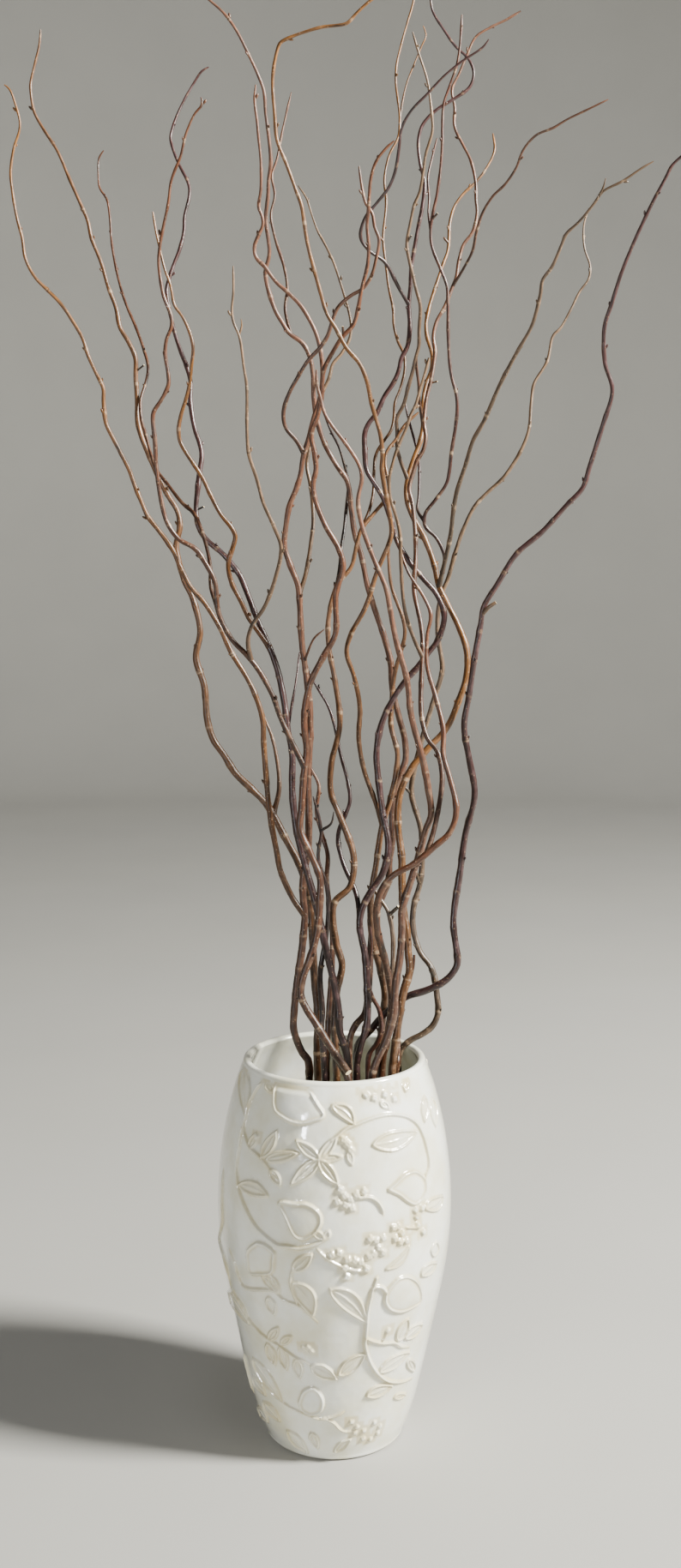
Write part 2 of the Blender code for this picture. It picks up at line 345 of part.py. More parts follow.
    fork("branch_15_plum", "branch_15_dark", (1.6, 1.0), 6.0,
         [(7.95, 84.6), (7.35, 85.5), (7.45, 86.6), (7.5, 88.2), (7.45, 89.9), (7.1, 91.4),
          (6.7, 92.75), (6.35, 94.1), (6.2, 95)]),
    fork("branch_15_twin", "branch_15_dark", (1.5, 0.9), 2.5,
         [(8.35, 109.5), (8.15, 110.8), (8.2, 112), (8.1, 113.8), (8.5, 115.6), (8.85, 117)]),
    fork("branch_15_pale", "willow_stem_15", (2.0, 0.9), -2.0,
         [(6.45, 88.2), (5.95, 89.5), (5.55, 90.8), (5.55, 92.2), (5.5, 93.4), (6.1, 94.65),
          (6.45, 96), (6.8, 97.2), (7.1, 98.5), (7.4, 99.7), (7.4, 100.9), (7.5, 103),
          (7.05, 104.7), (6.5, 107), (6.3, 108.2), (6.6, 110), (6.9, 111.4), (7.4, 112.6),
          (7.7, 114.3), (7.9, 115.7), (8.45, 117.6), (8.4, 118.8), (8.2, 120.5), (7.95, 121.9),
          (7.3, 123.8), (6.7, 125.7)]),
    fork("branch_15_short", "willow_stem_15", (1.6, 1.0), 2.0,
         [(7.8, 93.0), (7.45, 95), (7.4, 96.3), (7.2, 97.8), (7.2, 98.8)]),

    stem(16, (6.15, 1.3), (2.9, 0.8), [(42, 2.2), (50, 4.0), (60, 5.0), (90, 4.0), (110, 7.0)],
         [(6.9, 37.3), (8, 37.9), (9, 38.7), (9.5, 39.9), (9.45, 41.2), (8.9, 44.1), (7.8, 45.7),
          (7.15, 48.1), (7.25, 50), (7.85, 52.4), (7.85, 56.8), (6.95, 60.3), (7.15, 62.2),
          (8, 65.6), (8.9, 68.7), (9.65, 71.4), (9.3, 74), (9.2, 76), (9.5, 78), (10.1, 79.5),
          (10.8, 82), (11.5, 84), (12.4, 85.8), (13.5, 87), (14.9, 88.3), (16.4, 90.6),
          (17.1, 92.5), (17.25, 94.5), (17.5, 96.4), (18.6, 98.3), (19.1, 100.5), (19.7, 101.1),
          (20.6, 102.7), (21.3, 104.15), (22.1, 105.3), (22.2, 106.4), (21.7, 107.85),
          (21.6, 109.8), (22, 111.2)]),

    stem(17, (2.2, 3.2), (3.3, 1.0), [(39, 2.6), (42, 0.2), (50, 1.0), (60, 1.5), (90, -2.0), (118, -8.0)],
         [(3.3, 38.3), (4.2, 39.4), (6.5, 41.4), (8.5, 42.1), (10.3, 43.1), (11.2, 44.4),
          (11.2, 45.5), (10.85, 48), (10.9, 49.5), (11.4, 53), (11.85, 56.5), (12.6, 59.5),
          (12.65, 60.7), (12.1, 63.6), (11.65, 66.3), (12.1, 69.3), (12.5, 72.3), (13.05, 75.5),
          (13.3, 77), (14.5, 79), (16.1, 81.6), (18.4, 83.6), (20.6, 86), (21.9, 87.4),
          (22.5, 89.3), (23.5, 92.6), (24.3, 95.3), (24.3, 96.3), (23.7, 98), (23.5, 100.2),
          (23.6, 101.5), (24.2, 103.4), (24.9, 105.7), (25.8, 108), (26.6, 109.8),
          (27.5, 111.7), (28.65, 113.9), (29.1, 114.75), (30, 115.6), (31.2, 116.6),
          (32.2, 118.2), (32.5, 120)]),
    fork("stub_17_pale", "willow_stem_17", (1.7, 1.5), -1.0,
         [(13.15, 76.4), (13.8, 77.0), (14.4, 77.4)]),

    stem(18, (5.8, -0.7), (2.4, 1.2), [(40, 1.0), (46, 2.6)],
         [(5.95, 39.2), (6.3, 41.4), (6.7, 42.4), (7.2, 44.2), (7.3, 45.4)]),
]

# Bark colours as linear red, green and blue, one for each stem in order
BARK_COLOURS = [(0.36, 0.21, 0.13), (0.42, 0.26, 0.14), (0.40, 0.23, 0.13), (0.20, 0.10, 0.09),
                (0.38, 0.22, 0.12), (0.33, 0.19, 0.12), (0.10, 0.06, 0.05), (0.30, 0.19, 0.12),
                (0.16, 0.08, 0.08), (0.42, 0.25, 0.11), (0.45, 0.27, 0.13), (0.24, 0.10, 0.07),
                (0.27, 0.18, 0.14), (0.31, 0.18, 0.12), (0.38, 0.22, 0.11), (0.35, 0.22, 0.14),
                (0.14, 0.08, 0.08), (0.33, 0.20, 0.12)]
GLAZE_COLOUR = (0.86, 0.84, 0.76)
BARK_ROUGHNESS = 0.62
GLAZE_ROUGHNESS = 0.16


def clear_scene():
    """Remove every object that the scene already holds."""
    for scene_object in list(bpy.data.objects):
        bpy.data.objects.remove(scene_object, do_unlink=True)


def make_collection(name):
    """A new collection in the scene."""
    collection = bpy.data.collections.new(name)
    bpy.context.scene.collection.children.link(collection)
    return collection


def make_material(name, colour, roughness):
    """A plain surface of one colour."""
    material = bpy.data.materials.new(name)
    material.use_nodes = True
    shader = material.node_tree.nodes["Principled BSDF"]
    shader.inputs["Base Color"].default_value = (*colour, 1.0)
    shader.inputs["Roughness"].default_value = roughness
    shader.inputs["Metallic"].default_value = 0.0
    return material


# Routes

def lift(x, z, depth):
    """Move drawn points along the line of sight until they lie at the given depth."""
    scale = (EYE_DISTANCE + depth) / EYE_DISTANCE
    return np.stack([EYE[0] + (x - EYE[0]) * scale, depth, EYE[2] + (z - EYE[2]) * scale], axis=-1)


def draw(point):
    """Where the eye sees a real point on the upright plane through the vase's axis."""
    scale = (EYE_DISTANCE + point[1]) / EYE_DISTANCE
    return EYE[0] + (point[0] - EYE[0]) / scale, EYE[2] + (point[2] - EYE[2]) / scale


def tangents_at(points, times):
    """Slopes of a smooth curve at its points, from the neighbours on each side."""
    steps = np.diff(times)[:, None]
    slopes = np.diff(points, axis=0) / steps
    tangents = np.empty_like(points)
    tangents[0] = slopes[0]
    tangents[-1] = slopes[-1]
    tangents[1:-1] = (slopes[:-1] * steps[1:] + slopes[1:] * steps[:-1]) / (steps[1:] + steps[:-1])
    return tangents


def smooth_samples(points, spacing):
    """Evenly spaced samples on a smooth curve through the given points."""
    points = np.asarray(points, dtype=float)
    chords = np.linalg.norm(np.diff(points, axis=0), axis=1)
    times = np.concatenate([[0.0], np.cumsum(np.sqrt(chords))])
    tangents = tangents_at(points, times)
    dense = [points[:1]]
    for index in range(len(points) - 1):
        span = times[index + 1] - times[index]
        t = np.linspace(0.0, 1.0, CURVE_POINTS + 1)[1:, None]
        dense.append((2 * t**3 - 3 * t**2 + 1) * points[index]
                     + (t**3 - 2 * t**2 + t) * span * tangents[index]
                     + (3 * t**2 - 2 * t**3) * points[index + 1]
                     + (t**3 - t**2) * span * tangents[index + 1])
    dense = np.concatenate(dense)
    along = np.concatenate([[0.0], np.cumsum(np.linalg.norm(np.diff(dense, axis=0), axis=1))])
    count = max(int(math.ceil(along[-1] / spacing)) + 1, 3)
    wanted = np.linspace(0.0, along[-1], count)
    return np.stack([np.interp(wanted, along, dense[:, 0]), np.interp(wanted, along, dense[:, 1])], axis=1)


def soften(values, passes):
    """Round the corners of a run of numbers, with its two ends kept."""
    values = values.copy()
    for _ in range(passes):
        values[1:-1] = 0.25 * values[:-2] + 0.5 * values[1:-1] + 0.25 * values[2:]
    return values


def foot_of(strand):
    """Where a stem stands on the vase's floor."""
    foot_height = FLOOR_THICKNESS + FOOT_GAP
    return np.array([strand.mouth[0] * CENTIMETRE * FOOT_SPREAD, strand.mouth[1] * CENTIMETRE * FOOT_SPREAD,
                     foot_height])


def lay_out_stem(strand):
    """Sample a stem from just inside the neck to its tip."""
    foot = foot_of(strand)
    mouth = np.array([strand.mouth[0] * CENTIMETRE, strand.mouth[1] * CENTIMETRE, MOUTH_HEIGHT])
    below = [foot + (mouth - foot) * share for share in NECK_SHARES]
    route = [draw(point) for point in below] + [(x * CENTIMETRE, z * CENTIMETRE) for x, z in strand.route]
    strand.samples = smooth_samples(route, SAMPLE_STEP)
    heights = [draw(below[0])[1], draw(mouth)[1]] + [z * CENTIMETRE for z, _ in strand.depths]
    values = [below[0][1], mouth[1]] + [depth * CENTIMETRE for _, depth in strand.depths]
    strand.depth = np.interp(strand.samples[:, 1], heights, values)
    count = len(strand.samples)
    strand.length = np.linspace(0.0, 1.0, count) * SAMPLE_STEP * (count - 1)
    neck = np.linalg.norm(np.array(route[2]) - np.array(route[0]))
    above = strand.length - neck
    fixed = above <= 0.0
    strand.depth = np.where(fixed, strand.depth, soften(strand.depth, DEPTH_SOFTENING))
    strand.freedom = np.clip(above / FREE_HEIGHT, 0.0, 1.0)
    share = np.clip(above / above[-1], 0.0, 1.0)
    strand.radius = taper(strand.radii, share)


def lay_out_fork(strand, parent):
    """Sample a fork from the middle of its parent to its tip."""
    route = np.array(strand.route) * CENTIMETRE
    strand.root_index = int(np.argmin(np.linalg.norm(parent.samples - route[0], axis=1)))
    route[0] = parent.samples[strand.root_index]
    strand.samples = smooth_samples(route, SAMPLE_STEP)
    count = len(strand.samples)
    strand.length = np.linspace(0.0, 1.0, count) * SAMPLE_STEP * (count - 1)
    share = strand.length / strand.length[-1]
    root_depth = parent.depth[strand.root_index]
    drift = 1.0 - (1.0 - share) ** DRIFT_POWER
    strand.depth = root_depth + (strand.depths[0] * CENTIMETRE - root_depth) * drift
    strand.freedom = np.clip(strand.length / FREE_HEIGHT, 0.0, 1.0)
    widest = parent.radius[strand.root_index] / MILLIMETRE * FORK_SHARE
    strand.radii = (min(strand.radii[0], widest), min(strand.radii[1], widest))
    strand.radius = taper(strand.radii, share)


def taper(radii, share):
    """Radius along a strand, thinning faster towards its tip."""
    return (radii[1] + (radii[0] - radii[1]) * (1.0 - share ** TAPER_POWER)) * MILLIMETRE


def lay_out(strands):
    """Sample every strand, parents first."""
    by_name = {}
    for strand in strands:
        by_name[strand.name] = strand
        if strand.parent:
            lay_out_fork(strand, by_name[strand.parent])
        else:
            lay_out_stem(strand)
    return by_name


# Keeping the stems clear of each other

def contact_need(first, second, first_rows, second_rows):
    """How far apart the middles of two strands should be, near each pair of samples."""
    need = first.radius[first_rows] + second.radius[second_rows] + STEM_GAP
    if second.parent == first.name:
        ramp = np.clip((second.length[second_rows] - FUSE_START) / FUSE_LENGTH, 0.0, 1.0)
        need = need * ramp
    if second.parent == first.parent and second.parent:
        apart = abs(first.root_index - second.root_index) * SAMPLE_STEP
        reach = np.maximum(first.length[first_rows], second.length[second_rows]) + apart
        need = need * np.clip((reach - FUSE_START) / FUSE_LENGTH, 0.0, 1.0)
    return need


def group_contacts(first_rows, second_rows):
    """Number the runs of neighbouring contacts between two strands."""
    order = np.lexsort((second_rows, first_rows))
    groups = np.zeros(len(order), dtype=int)
    current = 0
    last_row = first_rows[order[0]]
    low = high = second_rows[order[0]]
    for place in order:
        row = first_rows[place]
        partner = second_rows[place]
        skipped = partner < low - RUN_PARTNERS or partner > high + RUN_PARTNERS
        if row - last_row > RUN_ROWS or skipped:
            current += 1
            low = high = partner
        if row != last_row:
            low = min(partner, low + 2)
            high = max(partner, high - 2)
        low = min(low, partner)
        high = max(high, partner)
        last_row = row
        groups[place] = current
    return groups


def find_contacts(strands, starts):
    """Every pair of samples that the eye sees closer together than their stems may be."""
    rows = []
    for first_number, first in enumerate(strands):
        for second_number in range(first_number + 1, len(strands)):
            second = strands[second_number]
            offsets = first.samples[:, None, :] - second.samples[None, :, :]
            seen = np.hypot(offsets[..., 0], offsets[..., 1])
            reach = first.radius[:, None] + second.radius[None, :] + STEM_GAP + SEEN_MARGIN
            first_rows, second_rows = np.nonzero(seen < reach)
            if len(first_rows) == 0:
                continue
            need = contact_need(first, second, first_rows, second_rows)
            groups = group_contacts(first_rows, second_rows)
            difference = first.depth[first_rows] - second.depth[second_rows]
            sign = np.ones(len(groups))
            for group in range(groups.max() + 1):
                chosen = groups == group
                sign[chosen] = 1.0 if difference[chosen].mean() >= 0.0 else -1.0
            rows.append(np.stack([first_rows + starts[first_number], second_rows + starts[second_number],
                                  need, sign], axis=1))
    rows = np.concatenate(rows)
    rows = rows[rows[:, 2] > 0.0]
    return rows[:, 0].astype(int), rows[:, 1].astype(int), rows[:, 2], rows[:, 3]


def spread_push(push, starts, ends):
    """Widen each push into a smooth bump along its own strand."""
    wide = push.copy()
    for start, end in zip(starts, ends):
        own = push[start:end]
        best = own.copy()
        for offset in range(1, min(PUSH_REACH, end - start)):
            weight = math.exp(-0.5 * (offset / PUSH_SPREAD) ** 2)
            best[offset:] = np.maximum(best[offset:], own[:-offset] * weight)
            best[:-offset] = np.maximum(best[:-offset], own[offset:] * weight)
        wide[start:end] = best
    return wide


def part_strands(strands, by_name):
    """Push crossing strands apart in depth until each pair passes clear."""
    counts = [len(strand.samples) for strand in strands]
    ends = np.cumsum(counts)
    starts = ends - counts
    first, second, need, sign = find_contacts(strands, starts)
    drawn = np.concatenate([strand.samples for strand in strands])
    depth = np.concatenate([strand.depth for strand in strands])
    freedom = np.concatenate([strand.freedom for strand in strands])
    radius = np.concatenate([strand.radius for strand in strands])
    ease = freedom / radius
    total = np.maximum(ease[first] + ease[second], 1e-9)
    for _ in range(PARTING_ROUNDS):
        points = lift(drawn[:, 0], drawn[:, 1], depth)
        gap = points[first] - points[second]
        sideways = np.maximum((gap ** 2).sum(axis=1) - gap[:, 1] ** 2, 0.0)
        wanted = np.sqrt(np.maximum(need ** 2 - sideways, 0.0))
        missing = np.maximum(wanted - sign * gap[:, 1], 0.0)
        missing[wanted == 0.0] = 0.0
        if missing.max() < SETTLED:
            break
        forward = np.zeros(len(depth))
        backward = np.zeros(len(depth))
        for rows, direction in ((first, sign), (second, -sign)):
            amount = PUSH_SHARE * missing * ease[rows] / total
            back = direction > 0
            np.maximum.at(backward, rows[back], amount[back])
            np.maximum.at(forward, rows[~back], amount[~back])
        move = spread_push(backward, starts, ends) - spread_push(forward, starts, ends)
        depth = depth + move * freedom
        follow_parents(strands, by_name, depth, starts)
    for strand, start, end in zip(strands, starts, ends):
        strand.depth = depth[start:end]


def follow_parents(strands, by_name, depth, starts):
    """Carry each fork's root to the depth that its parent now has there."""
    place = {strand.name: start for strand, start in zip(strands, starts)}
    for strand in strands:
        if not strand.parent:
            continue
        start = place[strand.name]
        root = depth[place[strand.parent] + strand.root_index]
        shift = root - depth[start]
        reach = np.exp(-strand.length / ROOT_REACH)
        depth[start:start + len(strand.samples)] += shift * reach


# Tubes

def thin_line(line, radii, tolerance):
    """Keep only the points of a line that its shape needs."""
    keep = {0, len(line) - 1}
    spans = [(0, len(line) - 1)]
    while spans:
        low, high = spans.pop()
        if high - low < 2:
            continue
        inner = np.arange(low + 1, high)
        along = line[high] - line[low]
        length = max(np.linalg.norm(along), 1e-9)
        share = np.clip(((line[inner] - line[low]) @ along) / length**2, 0.0, 1.0)
        away = np.linalg.norm(line[inner] - (line[low] + share[:, None] * along), axis=1)
        away = away + np.abs(radii[inner] - (radii[low] + share * (radii[high] - radii[low])))
        worst = int(np.argmax(away))
        if away[worst] > tolerance:
            keep.add(int(inner[worst]))
            spans.append((low, int(inner[worst])))
            spans.append((int(inner[worst]), high))
    kept = sorted(keep)
    return line[kept], radii[kept]


def real_line(strand):
    """A strand's middle line in space, with its radii."""
    line = lift(strand.samples[:, 0], strand.samples[:, 1], strand.depth)
    radii = strand.radius
    if not strand.parent:
        line = np.concatenate([foot_of(strand)[None, :], line])
        radii = np.concatenate([radii[:1], radii])
    return line, radii


def make_tube(name, line, radii, collection):
    """A closed tube that follows a line, thick as its radii say."""
    curve = bpy.data.curves.new(name, "CURVE")
    curve.dimensions = "3D"
    curve.fill_mode = "FULL"
    curve.bevel_depth = 1.0
    curve.bevel_resolution = TUBE_SIDES_SETTING
    curve.use_fill_caps = True
    spline = curve.splines.new("POLY")
    spline.points.add(len(line) - 1)
    for place, (point, radius) in enumerate(zip(line, radii)):
        spline.points[place].co = (*point, 1.0)
        spline.points[place].radius = radius
    drawn = bpy.data.objects.new(name + "_line", curve)
    collection.objects.link(drawn)
    bpy.context.view_layer.update()
    evaluated = drawn.evaluated_get(bpy.context.evaluated_depsgraph_get())
    mesh = bpy.data.meshes.new_from_object(evaluated)
    tube = bpy.data.objects.new(name, mesh)
    tube.matrix_world = drawn.matrix_world
    collection.objects.link(tube)
    bpy.data.objects.remove(drawn, do_unlink=True)
    weld(mesh, WELD_DISTANCE)
    return tube


def weld(mesh, distance):
    """Join points that lie together, and turn every face outward."""
    edit = bmesh.new()
    edit.from_mesh(mesh)
    bmesh.ops.remove_doubles(edit, verts=edit.verts, dist=distance)
    bmesh.ops.dissolve_degenerate(edit, edges=edit.edges, dist=distance)
    bmesh.ops.recalc_face_normals(edit, faces=edit.faces)
    edit.to_mesh(mesh)
    edit.free()


def freeze(target):
    """Replace an object's mesh with the shape that its modifiers give."""
    bpy.context.view_layer.update()
    evaluated = target.evaluated_get(bpy.context.evaluated_depsgraph_get())
    mesh = bpy.data.meshes.new_from_object(evaluated)
    target.modifiers.clear()
    old_mesh = target.data
    target.data = mesh
    bpy.data.meshes.remove(old_mesh)


def fuse_forks(trunk, forks_collection):
    """Join a stem's forks to it in one union."""
    union = trunk.modifiers.new("fuse_forks", "BOOLEAN")
    union.operation = "UNION"
    union.operand_type = "COLLECTION"
    union.collection = forks_collection
    union.solver = "EXACT"
    freeze(trunk)
    for used in list(forks_collection.objects):
        bpy.data.objects.remove(used, do_unlink=True)


def trunk_name(strand, by_name):
    """The stem that a strand grows from in the end."""
    while strand.parent:
        strand = by_name[strand.parent]
    return strand.name


def build_stem(strand, family, number, part_collection):
    """One willow stem with all its forks as a single solid."""
    line, radii = thin_line(*real_line(strand), RING_TOLERANCE)
    trunk = make_tube(strand.name, line, radii, part_collection)
    if family:
        cutters = make_collection(f"forks_of_{strand.name}")
        for branch in family:
            line, radii = thin_line(*real_line(branch), RING_TOLERANCE)
            tube = make_tube(branch.name, line, radii, cutters)
            tube.hide_render = True
            tube.display_type = "WIRE"
        fuse_forks(trunk, cutters)
    weld(trunk.data, FUSE_WELD)
    trunk.data.materials.clear()
    trunk.data.materials.append(make_material(f"willow_bark_{number:02d}", BARK_COLOURS[number - 1], BARK_ROUGHNESS))
    trunk.data.shade_smooth()
    return trunk


def build_stems(part_collection):
    """All the willow stems, parted so that none runs through another."""
    by_name = lay_out(STRANDS)
    part_strands(STRANDS, by_name)
    trunks = [strand for strand in STRANDS if not strand.parent]
    for number, trunk in enumerate(trunks, start=1):
        family = [strand for strand in STRANDS
                  if strand.parent and trunk_name(strand, by_name) == trunk.name]
        build_stem(trunk, family, number, part_collection)


# The vase

def outer_line():
    """The vase's outside from the lip down to the foot, as (radius, height)."""
    corner = []
    for step in range(CORNER_POINTS):
        angle = math.radians(90.0 * step / (CORNER_POINTS - 1))
        radius = FOOT_RADIUS + FOOT_CORNER * math.cos(angle)
        corner.append((radius, FOOT_CORNER * (1.0 - math.sin(angle))))
    return list(reversed(OUTLINE)) + corner


def lip_line():
    """The rounded lip, from inside the neck to its outside."""
    middle_radius = LIP_OUTER_RADIUS - LIP_RADIUS
    middle_height = VASE_HEIGHT - LIP_RADIUS
    points = []
    for step in range(LIP_POINTS):
        angle = math.pi * (1.0 - step / (LIP_POINTS - 1))
        radius = middle_radius + LIP_RADIUS * math.cos(angle)
        points.append((radius, middle_height + LIP_RADIUS * math.sin(angle)))
    return points


def inner_line():
    """The vase's inside from the middle of its floor up to the neck."""
    points = [(0.0, FLOOR_THICKNESS), (FLOOR_RADIUS, FLOOR_THICKNESS), INNER_CORNER]
    for radius, height in OUTLINE[:-1]:
        points.append((radius - WALL_THICKNESS, height + INNER_RISE))
    return points


def build_vase(part_collection):
    """The vase as one turned shell, open at the top."""
    profile = inner_line() + lip_line() + outer_line() + [(0.0, 0.0)]
    mesh = bpy.data.meshes.new("vase")
    points = [Vector((radius, 0.0, height)) for radius, height in profile]
    edges = [(index, index + 1) for index in range(len(points) - 1)]
    mesh.from_pydata(points, edges, [])
    vase = bpy.data.objects.new("vase", mesh)
    part_collection.objects.link(vase)
    screw = vase.modifiers.new("turn", "SCREW")
    screw.axis = "Z"
    screw.angle = math.tau
    screw.steps = VASE_STEPS
    screw.render_steps = VASE_STEPS
    screw.use_merge_vertices = True
    screw.merge_threshold = MERGE_DISTANCE
    freeze(vase)
    weld(vase.data, WELD_DISTANCE)
    vase.data.materials.clear()
    vase.data.materials.append(make_material("vase_glaze", GLAZE_COLOUR, GLAZE_ROUGHNESS))
    vase.data.shade_smooth()
    return vase


def main():
    """Build the vase and the stems."""
    clear_scene()
    part_collection = make_collection(OBJECT_NAME)
    build_vase(part_collection)
    build_stems(part_collection)


main()
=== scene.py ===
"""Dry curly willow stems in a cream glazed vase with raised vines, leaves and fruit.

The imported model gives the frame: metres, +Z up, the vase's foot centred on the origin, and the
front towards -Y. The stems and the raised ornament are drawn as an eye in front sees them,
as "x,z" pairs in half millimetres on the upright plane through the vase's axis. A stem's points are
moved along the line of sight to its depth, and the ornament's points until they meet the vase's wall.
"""

import json
import logging
import math
from dataclasses import dataclass, field
from enum import Enum
from typing import Optional, Union

import bpy
import numpy as np
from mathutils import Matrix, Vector

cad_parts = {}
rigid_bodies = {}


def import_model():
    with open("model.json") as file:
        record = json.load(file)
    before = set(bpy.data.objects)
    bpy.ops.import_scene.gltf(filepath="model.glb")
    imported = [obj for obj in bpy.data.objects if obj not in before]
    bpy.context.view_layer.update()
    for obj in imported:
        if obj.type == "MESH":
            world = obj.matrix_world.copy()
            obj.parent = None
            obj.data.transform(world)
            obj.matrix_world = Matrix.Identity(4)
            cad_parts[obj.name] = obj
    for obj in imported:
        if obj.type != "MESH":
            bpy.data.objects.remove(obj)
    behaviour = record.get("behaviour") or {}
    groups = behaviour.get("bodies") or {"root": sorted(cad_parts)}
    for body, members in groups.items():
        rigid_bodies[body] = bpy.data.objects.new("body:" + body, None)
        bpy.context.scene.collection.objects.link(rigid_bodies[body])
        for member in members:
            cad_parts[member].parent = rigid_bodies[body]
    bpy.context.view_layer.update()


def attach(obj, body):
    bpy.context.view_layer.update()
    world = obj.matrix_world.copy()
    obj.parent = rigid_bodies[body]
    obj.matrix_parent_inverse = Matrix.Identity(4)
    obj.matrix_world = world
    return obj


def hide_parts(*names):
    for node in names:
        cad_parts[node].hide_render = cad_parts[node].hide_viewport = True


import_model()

logging.basicConfig(level=logging.INFO, format="%(message)s")
log = logging.getLogger("willow")

CM = 0.01
MM = 0.001
Point = tuple[float, float]
Tree = bpy.types.NodeTree
Socket = bpy.types.NodeSocket
Level = Union[Socket, float]
Array = np.ndarray
Dice = np.random.Generator
Node, Mesh = bpy.types.Node, bpy.types.Mesh
Material, Object = bpy.types.Material, bpy.types.Object

# The eye that the stems and the ornament are drawn from, which is also the camera
EYE = np.array([0.0056, -1.3825, 0.7761])
EYE_DISTANCE = -EYE[1]
CAMERA_PITCH = math.radians(6.8)
CAMERA_LENS = 35.43


def pairs(text: str, parts: int = 1) -> tuple[Point, ...]:
    """Read pairs of numbers from a text, each of them in so many parts of its unit."""
    return tuple(tuple(float(part) / parts for part in pair.split(",")) for pair in text.split())


def drawn(text: str) -> tuple[Point, ...]:
    """The points of a drawn line in centimetres, from its "x,z" pairs in half millimetres."""
    return pairs(text, 20)


def linear(hex_colour: str) -> tuple[float, float, float, float]:
    """Turn an sRGB hex colour into linear light.

    Args:
        hex_colour: Six hex digits after a hash sign.
    Returns:
        Red, green, blue and an alpha of one.
    """
    parts = [int(hex_colour[i:i + 2], 16) / 255.0 for i in (1, 3, 5)]
    red, green, blue = (c / 12.92 if c <= 0.04045 else ((c + 0.055) / 1.055) ** 2.4 for c in parts)
    return red, green, blue, 1.0


def add_node(tree: Tree, kind: str, inputs: Optional[dict] = None, **settings) -> Node:
    """Add a node with its settings, values and links.

    Args:
        tree: The shader or geometry tree.
        kind: The node's type.
        inputs: Values or sockets for its inputs, by name or number.
        settings: The node's own properties.
    Returns:
        The new node.
    """
    node = tree.nodes.new(kind)
    for name, value in settings.items():
        setattr(node, name, value)
    for name, value in (inputs or {}).items():
        if isinstance(value, Socket):
            tree.links.new(value, node.inputs[name])
        else:
            node.inputs[name].default_value = value
    return node


def noise(tree: Tree, where: Socket, size_mm: float, detail: float, roughness: float = 0.5) -> Socket:
    """A noise from 0 to 1 whose cells are about size_mm across."""
    return add_node(tree, "ShaderNodeTexNoise", {"Vector": where, "Scale": 1.0 / MM / size_mm,
                                                 "Detail": detail, "Roughness": roughness}).outputs["Fac"]


def ramp(tree: Tree, value: Socket, start: Point, end: Point = (0.0, 1.0)) -> Socket:
    """Map a value from the span start to the span end, and hold it within that."""
    return add_node(tree, "ShaderNodeMapRange", {"Value": value, "From Min": start[0], "From Max": start[1],
                                                 "To Min": end[0], "To Max": end[1]}).outputs[0]


def blend(tree: Tree, share: Socket, ground: Union[Socket, tuple], over: tuple) -> Socket:
    """Mix a colour over another by a share."""
    return add_node(tree, "ShaderNodeMix", {0: share, 6: ground, 7: over}, data_type="RGBA").outputs[2]


def reckon(tree: Tree, operation: str, first: Level, second: Level) -> Socket:
    """Work out one number from two."""
    return add_node(tree, "ShaderNodeMath", {0: first, 1: second}, operation=operation).outputs[0]


def grade(tree: Tree, vector: Socket, factor: Level) -> Socket:
    """Multiply a vector or colour by a number."""
    return add_node(tree, "ShaderNodeVectorMath", {0: vector, 3: factor}, operation="SCALE").outputs[0]


def emboss(tree: Tree, height: Socket, strength: float, depth_mm: float, **under) -> Socket:
    """Turn a height into a bump of some depth, over another bump if Normal is given."""
    return add_node(tree, "ShaderNodeBump", {
        "Strength": strength, "Distance": depth_mm * MM, "Height": height, **under}).outputs[0]


def carried(tree: Tree, name: str, output: str) -> Socket:
    """An attribute that the mesh carries, for a shader."""
    return add_node(tree, "ShaderNodeAttribute", attribute_name=name).outputs[output]


def object_place(tree: Tree) -> Socket:
    """The place on the object, in metres."""
    return add_node(tree, "ShaderNodeTexCoord").outputs["Object"]


def start_material(name: str, **values) -> tuple[Material, Tree, Node]:
    """Start a material from an empty tree with one Principled shader.

    Args:
        name: The material's name.
        values: Plain values for the shader's sockets, with _ for a space.
    Returns:
        The material, its tree and its shader node.
    """
    material = bpy.data.materials.new(name)
    material.use_nodes = True
    tree = material.node_tree
    tree.nodes.clear()
    shader = add_node(tree, "ShaderNodeBsdfPrincipled")
    for key, value in values.items():
        shader.inputs[key.replace("_", " ")].default_value = value
    add_node(tree, "ShaderNodeOutputMaterial", {"Surface": shader.outputs[0]})
    return material, tree, shader


def drive(tree: Tree, shader: Node, **sockets: Socket) -> None:
    """Link sockets into a shader's inputs.

    Args:
        tree: The shader's tree.
        shader: The shader.
        sockets: What drives each input, with _ for a space in its name.
    """
    for key, socket in sockets.items():
        tree.links.new(socket, shader.inputs[key.replace("_", " ")])


def link_object(name: str, mesh: Mesh) -> Object:
    """Put a mesh into the scene as a piece that sits at the origin.

    Args:
        name: The piece's name.
        mesh: Its mesh.
    Returns:
        The piece.
    """
    piece = bpy.data.objects.new(name, mesh)
    bpy.context.scene.collection.objects.link(piece)
    return piece


def hand_over(piece: Object, node: str) -> None:
    """Let a finished piece ride on the body and stand for its solid, which is hidden.

    Args:
        piece: The finished piece.
        node: The solid that it stands for.
    """
    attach(piece, "root")
    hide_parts(node)
    log.info("%s: %d faces", piece.name, len(piece.data.polygons))


def baked(draft: Object, name: str) -> Mesh:
    """Bake an object's modifiers into a mesh, and clear the modifiers and the object away.

    Args:
        draft: The object.
        name: The mesh's name.
    Returns:
        The baked mesh.
    """
    graph = bpy.context.evaluated_depsgraph_get()
    mesh = bpy.data.meshes.new_from_object(draft.evaluated_get(graph))
    draft.modifiers.clear()
    bpy.data.objects.remove(draft)
    mesh.name = name
    return mesh


